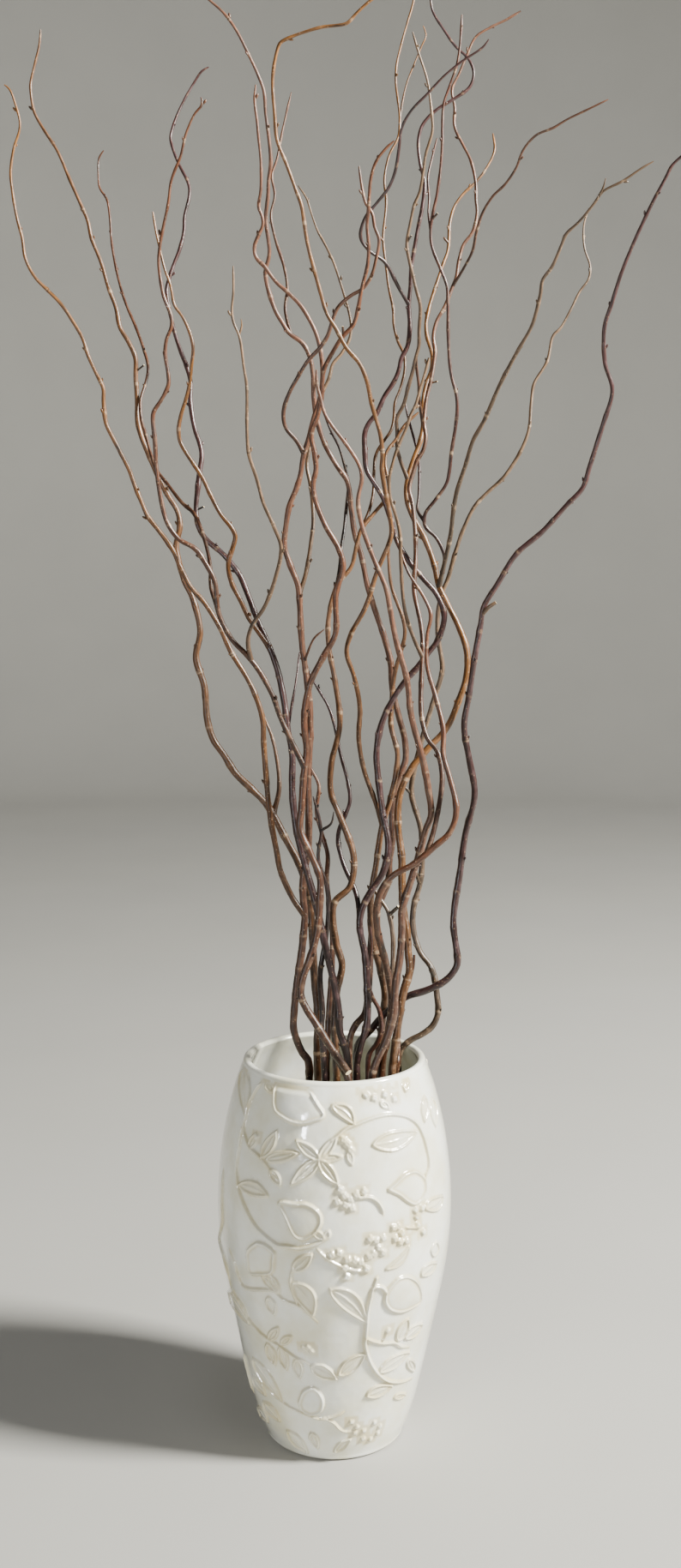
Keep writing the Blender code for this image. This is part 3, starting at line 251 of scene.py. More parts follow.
def run_length(points: Array) -> Array:
    """The length along a line at each of its points."""
    return np.concatenate([[0.0], np.cumsum(np.linalg.norm(np.diff(points, axis=0), axis=1))])


def ease_along(values: Array) -> None:
    """Even out a row of values in place by one small step, and keep its ends."""
    values[1:-1] = 0.25 * values[:-2] + 0.5 * values[1:-1] + 0.25 * values[2:]


# Materials

@dataclass(frozen=True)
class GlazeFinish:
    """Cream earthenware glaze with a pearly lustre, dipped and fired: glossy, and warmer where it pools."""
    name: str = "cream_lustre_glaze"
    body_hex: str = "#EFF1E8"
    shade_hex: str = "#E0DDC4"
    pool_hex: str = "#C9B984"
    roughness: float = 0.13
    cloud_mm: float = 34.0
    peel_mm: float = 5.0
    wave_mm: float = 16.0

    def build(self) -> Material:
        """Make the glaze's material.

        Returns:
            The material.
        """
        material, tree, shader = start_material(self.name, IOR=1.52, Coat_Weight=1.0, Coat_Roughness=0.04)
        where = object_place(tree)
        clouds = noise(tree, where, self.cloud_mm, 3.0, 0.55)
        ground = blend(tree, ramp(tree, clouds, (0.35, 0.70)), linear(self.body_hex), linear(self.shade_hex))
        uneven = ramp(tree, clouds, (0.30, 0.62), (0.45, 1.0))
        pooled = add_node(tree, "ShaderNodeMath", {0: carried(tree, "tint", "Fac"), 1: uneven},
                          operation="MULTIPLY", use_clamp=True).outputs[0]
        swell = emboss(tree, noise(tree, where, self.wave_mm, 1.0), 0.5, 1.2)
        drive(tree, shader, Base_Color=blend(tree, pooled, ground, linear(self.pool_hex)),
              Roughness=ramp(tree, clouds, (0.0, 1.0), (self.roughness - 0.05, self.roughness + 0.10)),
              Normal=emboss(tree, noise(tree, where, self.peel_mm, 2.0), 0.4, 0.25, Normal=swell))
        return material


@dataclass(frozen=True)
class BiscuitFinish:
    """Bare fired clay on the foot, wiped clean of glaze: matt and slightly gritty."""
    name: str = "bare_biscuit_foot"
    clay_hex: str = "#D8CDB9"
    grit_hex: str = "#B9AA92"
    grit_mm: float = 1.6

    def build(self) -> Material:
        """Make the bare clay's material.

        Returns:
            The material.
        """
        material, tree, shader = start_material(self.name, Roughness=0.85)
        grit = noise(tree, object_place(tree), self.grit_mm, 4.0)
        drive(tree, shader, Base_Color=blend(tree, grit, linear(self.clay_hex), linear(self.grit_hex)),
              Normal=emboss(tree, grit, 0.4, 0.2))
        return material


@dataclass(frozen=True)
class BarkFinish:
    """Dry willow bark: thin and satin, with fine fibres along it, pale breathing pores and ringed knots."""
    name: str
    slot: str
    film_hex: str = "#97755A"
    pore_hex: str = "#BBA183"
    scar_hex: str = "#2A1A12"
    roughness: float = 0.38
    fibre_mm: float = 1.5  # coarser than real fibres, which are 0.3 mm, so that they show
    patch_mm: float = 9.0
    pore_mm: float = 3.4
    stretch: tuple[float, float, float] = (1.0, 1.0, 0.11)

    def build(self) -> Material:
        """Make the bark's material, which reads each strand's own colour and place along it.

        Returns:
            The material.
        """
        material, tree, shader = start_material(self.name, Specular_IOR_Level=0.5)
        knot = carried(tree, "knot", "Fac")
        skin = carried(tree, "skin", "Vector")
        long_way = add_node(tree, "ShaderNodeVectorMath", {0: skin, 1: self.stretch},
                            operation="MULTIPLY").outputs[0]
        fibre = noise(tree, long_way, self.fibre_mm, 3.0, 0.6)
        patch = noise(tree, skin, self.patch_mm, 3.0, 0.62)
        fibred = grade(tree, carried(tree, "tone", "Color"), ramp(tree, fibre, (0.28, 0.72), (0.06, 0.77)))
        filmed = blend(tree, ramp(tree, patch, (0.50, 0.72), (0.0, 0.20)), fibred, linear(self.film_hex))
        pores = add_node(tree, "ShaderNodeTexVoronoi", {"Vector": skin, "Scale": 1.0 / MM / self.pore_mm,
                                                        "Randomness": 1.0}).outputs["Distance"]
        pore = ramp(tree, pores, (0.10, 0.20), (0.34, 0.0))
        dotted = blend(tree, pore, filmed, linear(self.pore_hex))
        one_side = ramp(tree, patch, (0.46, 0.60))
        rim = reckon(tree, "MULTIPLY", ramp(tree, knot, (0.12, 0.45), (0.0, 0.45)), one_side)
        rimmed = blend(tree, rim, dotted, linear(self.pore_hex))
        ring = ramp(tree, knot, (0.55, 0.85), (0.0, 0.75))
        drive(tree, shader, Base_Color=blend(tree, ring, rimmed, linear(self.scar_hex)),
              Roughness=ramp(tree, patch, (0.0, 1.0), (self.roughness - 0.14, self.roughness + 0.16)),
              Normal=emboss(tree, reckon(tree, "ADD", fibre, pore), 0.55, 0.30))
        return material


@dataclass(frozen=True)
class CutWoodFinish:
    """Fresh willow wood where a stem was pruned: pale cream, matt, with fine rings."""
    name: str = "pruned_willow_wood"
    wood_hex: str = "#E9D9B4"
    ring_hex: str = "#C9B288"
    ring_mm: float = 0.8

    def build(self) -> Material:
        """Make the cut wood's material.

        Returns:
            The material.
        """
        material, tree, shader = start_material(self.name, Roughness=0.72)
        rings = noise(tree, object_place(tree), self.ring_mm, 3.0)
        drive(tree, shader, Base_Color=blend(tree, rings, linear(self.wood_hex), linear(self.ring_hex)))
        return material


class BarkTone(Enum):
    """The bark colours of the bunch, each as its colour low on the strand and towards its tip."""
    GOLDEN = ("#683D12", "#A56D33")
    TAN = ("#57361B", "#916139")
    CHESTNUT = ("#4A2A15", "#804B2D")
    ROSE = ("#553322", "#925F45")
    PALE = ("#6B4F37", "#A17F5F")
    GREY = ("#584531", "#8D6F54")
    PLUM = ("#391F1C", "#5C3937")
    BLACK = ("#221612", "#44302A")
    OXBLOOD = ("#45211A", "#703F2D")


# The stems: their drawing

@dataclass
class Strand:
    """One unbranched run of willow: a stem from its foot in the vase, or a fork of another strand.

    The drawing comes first. What follows the mouth is filled in when the bunch is laid out.
    """
    name: str
    parent: str
    radii: tuple[float, float]
    depths: tuple[Point, ...]
    route: tuple[Point, ...]
    mouth: Point = (0.0, 0.0)
    samples: Optional[Array] = None
    depth: Optional[Array] = None
    radius: Optional[Array] = None
    length: Optional[Array] = None
    freedom: Optional[Array] = None
    root_index: int = 0


def stem(number: int, mouth: Point, radii: tuple[float, float], depths: str, route: str) -> Strand:
    """A stem that stands in the vase and crosses its mouth at (x, y) centimetres."""
    return Strand(f"{number:02d}", "", radii, pairs(depths), drawn(route), mouth)


def fork(name: str, parent: str, radii: tuple[float, float], tip_depth: float, route: str) -> Strand:
    """A branch that leaves its parent where its route begins."""
    return Strand(name, parent, radii, ((0.0, tip_depth),), drawn(route))


# Radii are in millimetres at root and tip, and depths are "height,depth" in centimetres along the
# line of sight, with the front negative. A fork has only its tip's depth. Routes are in half millimetres
STRANDS: list[Strand] = [
    stem(1, (-2.4, -1.6), (3.5, 1.0), "60,-1 90,-2.5 120,-6", """
    -58,722 -68,744 -75,770 -74,800 -68,860 -59,920 -54,986 -57,1014 -57,1046 -48,1100 -46,1170 -47,1240
    -43,1320 -44,1360 -49,1410 -58,1480 -61,1540 -64,1576 -78,1614 -88,1646 -85,1684 -78,1720 -67,1746
    -60,1768 -54,1804 -45,1834 -35,1872 -24,1908 -20,1944 -21,1966 -28,2004 -38,2028 -56,2058 -79,2082
    -100,2100 -120,2126 -135,2142 -138,2160 -130,2180 -123,2196 -124,2210 -130,2226 -126,2256 -126,2304
    -129,2336 -132,2368 -136,2404 -134,2428"""),
    fork("01_left", "01", (2.9, 0.9), -2.0, """
    -54,982 -74,1010 -98,1064 -104,1096 -117,1170 -123,1240 -127,1300 -128,1336 -138,1374 -154,1410 -184,1460
    -202,1500 -230,1546 -254,1574 -272,1608 -286,1640 -310,1674 -330,1700 -340,1724 -352,1754 -361,1780
    -376,1810 -388,1834 -400,1860 -404,1900 -404,1920 -416,1946 -430,1978 -438,2004 -460,2042 -477,2066
    -500,2089 -520,2110 -535,2140 -540,2176 -548,2208 -555,2254 -557,2282 -551,2322 -541,2350 -539,2366
    -546,2396 -555,2420 -564,2428"""),
    fork("01_thin", "01", (1.9, 0.8), 3.0, """
    -60,1560 -50,1600 -41,1654 -37,1690 -41,1750 -48,1786 -43,1820 -39,1848 -30,1880 -21,1910 -8,1940 -2,1962
    12,1978 26,2002 30,2024 26,2050 17,2081 7,2112 0,2132 -14,2161 -29,2188 -41,2222 -47,2240 -62,2262"""),
    fork("01_bow", "01", (2.2, 1.1), -9.0, """
    -53,1806 -66,1830 -85,1853 -89,1878 -80,1909 -63,1940 -45,1968 -26,1988 -12,2008 -2,2038 7,2058 30,2078
    48,2088 64,2109 73,2140 78,2172 70,2194 66,2216 55,2232 49,2254 43,2294"""),
    fork("01_side_twig", "01", (1.1, 0.7), -4.0, "-52,1446 -36,1484 -18,1500"),
    stem(2, (1.2, -7.0), (3.4, 1.1), "48,-5.6 62,-4.5 90,-6.5 115,-10", """
    12,702 -4,730 -18,752 -36,782 -52,808 -61,830 -59,860 -41,912 -30,960 -26,1020 -26,1050 -42,1092 -62,1140
    -59,1180 -55,1240 -50,1280 -54,1340 -43,1404 -18,1454 2,1492 3,1564 16,1612 8,1642 -16,1684 -34,1730
    -37,1756 -32,1780 -34,1806 -40,1842 -30,1870 -22,1904 -19,1948 -4,1979 15,2008 34,2029 42,2057 48,2089
    58,2128 60,2161 57,2196 59,2218 61,2248 63,2270 72,2301 92,2326 104,2336"""),
    fork("02_long", "02", (2.8, 0.9), -9.0, """
    -53,1252 -74,1294 -98,1346 -108,1376 -134,1426 -156,1454 -184,1484 -206,1530 -212,1584 -228,1616 -246,1642
    -276,1660 -296,1690 -306,1730 -313,1786 -315,1830 -318,1864 -317,1878 -301,1903 -290,1926 -290,1944
    -295,1980 -292,2004 -283,2026 -284,2044 -296,2076 -302,2110 -304,2138 -301,2164 -295,2194 -286,2233
    -281,2268 -272,2292 -264,2310 -254,2348 -239,2380 -226,2396 -228,2408"""),
    fork("02_back", "02_long", (2.2, 0.9), 11.0, """
    -208,1540 -219,1574 -220,1612 -230,1660 -248,1704 -268,1722 -296,1758 -312,1778 -322,1806 -332,1844
    -338,1866 -339,1900 -330,1928 -325,1956 -332,1986 -346,2026 -362,2064 -373,2100 -380,2134 -385,2168
    -388,2216 -392,2239 -404,2258 -406,2280 -404,2308 -396,2320"""),
    fork("02_thin", "02_long", (1.8, 0.8), -13.0, """
    -148,1446 -154,1476 -148,1504 -124,1540 -104,1592 -94,1644 -106,1680 -124,1720 -137,1766 -150,1807
    -153,1848 -153,1924 -158,1958 -165,2008 -175,2032 -178,2052 -175,2084 -175,2128"""),
    fork("02_thin_twig", "02_thin", (0.9, 0.6), -10.5, "-165,2010 -161,2026 -162,2038"),
    stem(3, (-1.6, 0.6), (3.6, 1.0), "60,1.5 90,3.5 122,6", """
    -32,750 -30,790 -37,870 -40,940 -46,1020 -64,1076 -88,1122 -120,1182 -150,1214 -178,1242 -198,1274
    -218,1304 -228,1340 -233,1400 -247,1450 -239,1496 -252,1556 -266,1586 -277,1626 -280,1646 -273,1682
    -277,1708 -293,1735 -310,1768 -322,1796 -339,1839 -345,1866 -345,1900 -347,1940 -347,1972 -359,2000
    -373,2024 -379,2056 -392,2092 -404,2134 -420,2175 -426,2204 -439,2235 -457,2276 -476,2320 -500,2357
    -514,2384 -519,2414 -519,2430 -510,2465 -502,2497 -500,2518"""),
    fork("03_inner", "03", (2.2, 1.0), 3.5, """
    -112,1168 -100,1210 -101,1250 -112,1308 -126,1344 -134,1372"""),
    stem(4, (1.25, -4.1), (3.4, 1.0), "60,-2.5 88,1.5 122,9", """
    20,732 10,764 7,810 -4,870 -17,926 -26,970 -40,1026 -60,1100 -70,1150 -76,1210 -76,1280 -83,1318 -90,1372
    -102,1430 -118,1474 -138,1520 -156,1568 -168,1596 -196,1632 -226,1658 -239,1678 -244,1710 -241,1744
    -237,1776 -233,1804 -236,1824 -244,1848 -249,1872 -252,1900 -251,1930 -258,1958 -268,1984 -277,2012
    -282,2032 -288,2060 -291,2088 -287,2104 -276,2135 -269,2151 -260,2184 -258,2212 -252,2234 -249,2252
    -252,2268 -266,2295 -278,2326 -281,2342 -278,2354 -270,2376 -256,2404 -237,2435 -226,2450 -214,2457"""),
    fork("04_golden", "04", (2.3, 0.9), -4.0, """
    -116,1468 -134,1494 -152,1520 -166,1550 -182,1582 -188,1616 -179,1646 -175,1664 -182,1680 -200,1702
    -220,1740 -231,1764 -246,1788 -262,1812 -271,1830 -273,1850 -268,1876 -259,1904 -252,1932 -249,1960
    -246,1990 -252,2016 -264,2042 -278,2062 -282,2084 -286,2102 -293,2120 -299,2143 -303,2162 -307,2180
    -310,2198 -313,2218"""),
    fork("04_dim_twig", "04", (1.3, 0.8), 3.5, "-83,1320 -77,1360 -68,1410 -62,1460"),
    stem(5, (0.2, -2.8), (3.3, 1.2), "60,-0.5 84,0.5 94,3", """
    2,740 0,770 5,840 14,890 3,930 0,1004 28,1034 35,1090 10,1164 -6,1206 -5,1260 10,1330 2,1404 -10,1472
    -10,1520 6,1580 30,1610 40,1650 48,1676 72,1706 95,1734 97,1746 94,1768 90,1788 92,1810 108,1832 124,1857
    148,1879"""),
    fork("05_tall", "05", (2.8, 0.9), 13.0, """
    49,1680 61,1707 69,1740 70,1772 72,1800 78,1816 92,1836 100,1848 105,1870 107,1896 116,1920 123,1948
    122,1977 111,2001 104,2030 103,2054 95,2092 90,2129 85,2174 89,2216 90,2240 87,2272 95,2312 110,2341
    113,2370 110,2400 106,2430 107,2460 115,2494 126,2532 136,2566 140,2600 147,2640 144,2680 150,2710"""),
    fork("05_tall_twig", "05_tall", (1.2, 0.7), 12.0, """
    112,2374 119,2408 126,2434 137,2461 150,2492 157,2508 152,2524"""),
    fork("05_dark", "05", (1.8, 0.9), 6.0, """
    6,1580 10,1612 13,1646 18,1680 22,1720 25,1760 19,1784 9,1818 -6,1848 -19,1882 -24,1908"""),
    stem(6, (-0.7, -1.2), (2.9, 1.4), "50,1.5 65,4", """
    -12,760 -10,800 -3,910 -6,980 -14,1046 -12,1092 -22,1130 -32,1174 -28,1220 -44,1256 -48,1284"""),
    stem(7, (-0.9, -4.1), (2.7, 1.2), "50,-2.8 62,-2.5", """
    -22,736 -24,768 -22,800 -26,870 -13,960 -13,1030 -29,1086 -24,1140 -38,1200"""),
    fork("07_curl_twig", "07", (1.1, 0.7), -3.5, "-24,1134 -6,1150 -1,1172"),
    stem(8, (1.35, 1.5), (3.2, 0.9), "45,3 60,4 90,3 125,-3", """
    30,756 40,778 56,798 64,864 66,920 70,960 84,1008 98,1044 100,1080 105,1120 105,1194 116,1232 128,1266
    126,1306 117,1340 107,1380 102,1410 101,1440 88,1490 76,1524 60,1574 48,1630 36,1672 30,1712 23,1760
    4,1788 -15,1821 -25,1847 -33,1882 -36,1912 -37,1944 -42,1972 -54,1996 -79,2015 -90,2032 -100,2048
    -112,2080 -119,2116 -112,2148 -114,2174 -118,2208 -114,2244 -113,2268 -109,2298 -110,2324 -117,2380
    -120,2417 -128,2440 -146,2478 -166,2516 -185,2542 -212,2566 -240,2588 -260,2620 -264,2644"""),
    fork("08_side", "08", (1.5, 0.8), 5.0, """
    -78,2014 -85,2054 -81,2088 -86,2124 -100,2168 -109,2212 -102,2246 -107,2278 -98,2306 -92,2336 -81,2384
    -73,2416"""),
    stem(9, (2.05, -2.6), (3.2, 0.9), "50,-1 60,0.5 90,1 125,3", """
    48,736 60,780 60,840 56,906 46,960 49,988 62,1018 88,1060 98,1110 88,1168 80,1226 76,1280 84,1328 100,1366
    124,1404 150,1434 166,1456 184,1480 196,1524 182,1562 156,1592 130,1624 110,1660 98,1700 84,1736 69,1759
    57,1780 54,1812 54,1844 62,1862 74,1876 88,1906 104,1930 112,1948 118,1972 128,1992 132,2026 130,2060
    133,2098 134,2126 139,2156 145,2190 152,2224 156,2266 148,2301 145,2335 152,2362 176,2387 206,2405
    232,2424 239,2447 230,2470 208,2490 187,2518 168,2548 164,2572 160,2600 152,2626 156,2652"""),
    fork("09_left", "09", (2.3, 1.0), 5.5, """
    46,972 40,1020 14,1084 7,1130 28,1190 24,1228 12,1274 -8,1356 -38,1410 -61,1464"""),
    fork("09_loop", "09", (1.7, 0.8), -7.0, """
    130,2062 114,2088 88,2134 60,2154 46,2175 53,2207 73,2232 94,2258 106,2288 112,2326 116,2356 132,2385
    160,2413 188,2442 220,2467 254,2489 264,2502"""),
    stem(10, (4.2, 2.6), (3.4, 1.3), "50,1 60,1.5 84,3", """
    87,772 92,832 82,888 69,940 66,1010 75,1070 88,1152 100,1190 114,1274 102,1326 102,1356 108,1420 126,1492
    122,1520 102,1576 97,1616 96,1636 98,1664"""),
    fork("10_gold", "10", (3.0, 1.1), -12.0, """
    87,1146 72,1196 54,1246 44,1304 46,1360 36,1414 22,1460 30,1492 56,1540 76,1602 101,1666 99,1696 94,1724
    88,1754 84,1782 85,1808 82,1836 77,1856 66,1893 57,1934 44,1963 21,1990 2,2024 -12,2046 -23,2081 -34,2120
    -45,2161 -52,2203 -56,2228 -67,2258 -82,2298 -98,2338 -102,2383 -105,2426 -104,2448 -98,2480 -92,2496
    -80,2503 -50,2514 -20,2522 7,2525 22,2528 40,2546 61,2564 74,2572"""),
    stem(11, (4.35, -1.5), (3.4, 1.1), "44,-3 50,-6.2 56,-7 70,-4 84,-2.5", """
    96,744 104,788 105,830 94,892 79,952 78,1000 88,1032 108,1056 144,1076 186,1112 206,1130 218,1156 220,1184
    208,1234 196,1276 196,1320 182,1378 166,1436 166,1490 172,1526 160,1556 132,1600 118,1636 108,1668"""),
    fork("11_right", "11", (2.9, 1.0), 8.0, """
    168,1098 182,1146 193,1210 194,1240 186,1280 168,1304 158,1336 155,1370 156,1420 158,1470 154,1510
    142,1570 144,1620 144,1660 140,1706 137,1726 132,1748 139,1774 147,1798 155,1810 161,1834 158,1858
    159,1880 162,1905 168,1928 173,1956 176,1984 173,2008 179,2035 192,2058 206,2093 212,2108 216,2135
    224,2163 240,2185 247,2216 245,2238 244,2268 235,2304 222,2329 209,2353 206,2366 207,2390 202,2420
    214,2446 228,2478 242,2506 268,2522 294,2534 318,2548"""),
    fork("11_arm", "11_right", (1.8, 0.8), -5.0, """
    207,2096 225,2124 240,2153 246,2183 256,2215 274,2244 295,2264 314,2292 325,2320 347,2345 376,2357
    400,2371 432,2386 470,2404"""),
    fork("11_pale", "11_right", (2.1, 1.2), -5.0, """
    157,1448 142,1484 128,1524 122,1560 118,1626 116,1670 106,1710 99,1732 97,1764 102,1787 108,1808 116,1828
    126,1850 134,1874 142,1890 147,1906 153,1926 162,1957 166,1972"""),
    stem(12, (3.2, 0.0), (2.4, 1.2), "40,0 49,-0.5", "78,742 86,768 82,804 68,832 62,864 68,920 66,960"),
    stem(13, (4.6, 1.1), (2.8, 1.8), "44,1 52,2.6", "100,780 106,840 107,910 107,940 98,988 86,1008 72,1030"),
    stem(14, (3.4, -5.6), (3.5, 1.2), "50,-4.6 60,-5.5 80,-7.5 97,-9", """
    82,718 92,740 108,792 112,850 120,904 123,960 123,990 140,1048 154,1096 166,1140 175,1166 169,1216
    158,1272 138,1346 130,1410 110,1482 98,1544 93,1570 68,1630 50,1680 42,1726 49,1766 44,1788 24,1820
    -2,1854 -16,1876 -23,1900 -30,1928 -31,1952"""),
    stem(15, (5.25, -3.3), (3.6, 1.0), "50,-0.5 60,0.5 90,4 118,13", """
    112,740 117,776 126,836 137,876 135,912 132,952 124,1010 122,1090 115,1150 119,1206 140,1252 166,1284
    202,1324 222,1370 236,1416 237,1460 224,1500 202,1544 186,1576 178,1612 160,1660 138,1700 129,1724
    127,1748 132,1774 141,1802 151,1829 156,1856 155,1880 157,1908 162,1930 170,1952 172,1972 168,1990
    162,2008 160,2030 166,2060 178,2098 188,2128 197,2153 199,2184 200,2200 208,2227 224,2249 245,2268
    265,2295 276,2320 273,2348"""),
    fork("15_outer", "15", (2.5, 0.8), -14.0, """
    187,1574 194,1610 206,1666 210,1704 216,1740 232,1790 244,1830 264,1866 290,1926 324,1990 341,2019
    348,2036 359,2082 362,2104 378,2126 394,2163 401,2180 425,2203 449,2232 464,2252 497,2269 532,2292
    550,2302"""),
    fork("15_outer_twig", "15_outer", (0.9, 0.6), -13.5, "458,2244 464,2258 468,2274"),
    fork("15_dark", "15_outer", (2.4, 1.0), 0.0, """
    191,1598 196,1626 182,1660 162,1680 159,1694 162,1706 179,1728 198,1756 203,1778 206,1808 213,1854
    216,1884 214,1910 206,1938 202,1962 199,2012 198,2064 196,2094 186,2120 170,2159 167,2184 171,2216
    177,2243 183,2286 186,2330 186,2360 188,2396 198,2426 210,2460 215,2492 218,2542"""),
    fork("15_plum", "15_dark", (1.6, 1.0), 6.0, """
    159,1692 147,1710 149,1732 150,1764 149,1798 142,1828 134,1855 127,1882 124,1900"""),
    fork("15_twin", "15_dark", (1.5, 0.9), 2.5, """
    167,2190 163,2216 164,2240 162,2276 170,2312 177,2340"""),
    fork("15_pale", "15", (2.0, 0.9), -2.0, """
    129,1764 119,1790 111,1816 111,1844 110,1868 122,1893 129,1920 136,1944 142,1970 148,1994 148,2018
    150,2060 141,2094 130,2140 126,2164 132,2200 138,2228 148,2252 154,2286 158,2314 169,2352 168,2376
    164,2410 159,2438 146,2476 134,2514"""),
    fork("15_short", "15", (1.6, 1.0), 2.0, """
    156,1860 149,1900 148,1926 144,1956 144,1976"""),
    stem(16, (6.15, 1.3), (2.9, 0.8), "42,2.2 50,4 60,5 90,4 110,7", """
    138,746 160,758 180,774 190,798 189,824 178,882 156,914 143,962 145,1000 157,1048 157,1136 139,1206
    143,1244 160,1312 178,1374 193,1428 186,1480 184,1520 190,1560 202,1590 216,1640 230,1680 248,1716
    270,1740 298,1766 328,1812 342,1850 345,1890 350,1928 372,1966 382,2010 394,2022 412,2054 426,2083
    442,2106 444,2128 434,2157 432,2196 440,2224"""),
    stem(17, (2.2, 3.2), (3.3, 1.0), "39,2.6 42,0.2 50,1 60,1.5 90,-2 118,-8", """
    66,766 84,788 130,828 170,842 206,862 224,888 224,910 217,960 218,990 228,1060 237,1130 252,1190 253,1214
    242,1272 233,1326 242,1386 250,1446 261,1510 266,1540 290,1580 322,1632 368,1672 412,1720 438,1748
    450,1786 470,1852 486,1906 486,1926 474,1960 470,2004 472,2030 484,2068 498,2114 516,2160 532,2196
    550,2234 573,2278 582,2295 600,2312 624,2332 644,2364 650,2400"""),
    fork("17_pale_stub", "17", (1.7, 1.5), -1.0, "263,1528 276,1540 288,1548"),
    stem(18, (5.8, -0.7), (2.4, 1.2), "40,1 46,2.6", "119,784 126,828 134,848 144,884 146,908"),
]

# The colour of each strand's bark, where it isn't its stem's own
TONES: dict[str, BarkTone] = {name: tone for tone, names in {
    BarkTone.ROSE: "01 08 11_right 14",
    BarkTone.GOLDEN: "01_left 04_golden 05_tall 10_gold 15",
    BarkTone.PALE: "01_thin 02_thin 11_pale 15_pale 17_pale_stub",
    BarkTone.CHESTNUT: "02 06 11 15_short 18",
    BarkTone.TAN: "03 05 10",
    BarkTone.PLUM: "04 09 09_loop 15_plum 17",
    BarkTone.BLACK: "05_dark 07",
    BarkTone.OXBLOOD: "12 15_dark",
    BarkTone.GREY: "13 15_outer 16",
}.items() for name in names.split()}

# Strands that end in a clean cut instead of a tip
PRUNED = {"11_pale", "17_pale_stub", "15_short", "18", "13"}


@dataclass(frozen=True)
class Spur:
    """A pruned side shoot or dead knob on a strand, drawn from its root to its end in centimetres."""
    strand: str
    root: Point
    end: Point
    radius_mm: float
    cut: bool = True
    forward: float = 0.35


SPURS = (
    Spur("02", (0.0, 36.1), (1.3, 34.3), 3.2, True, 0.62),
    Spur("16", (9.1, 43.3), (8.7, 44.4), 2.0, False),
    Spur("16", (7.75, 52.0), (7.35, 53.2), 1.5),
    Spur("13", (4.95, 49.2), (5.85, 49.9), 1.6),
    Spur("02", (0.75, 100.4), (0.75, 101.3), 1.0),
    Spur("16", (6.95, 60.3), (6.35, 60.9), 1.2, False),
    Spur("05_tall", (4.25, 108.4), (3.85, 108.9), 1.0, False),
    Spur("15_dark", (8.45, 110.1), (8.95, 110.8), 0.9),
    Spur("15", (9.95, 108.4), (9.45, 108.8), 1.0, False),
    Spur("15_pale", (6.3, 108.3), (6.7, 108.95), 0.8),
    Spur("15", (8.15, 96.3), (9.05, 96.6), 0.8),
    Spur("03", (-17.3, 97.4), (-16.6, 98.0), 0.8),
    Spur("04", (-12.2, 85.3), (-11.5, 85.8), 0.8),
)


# The stems: their places in space

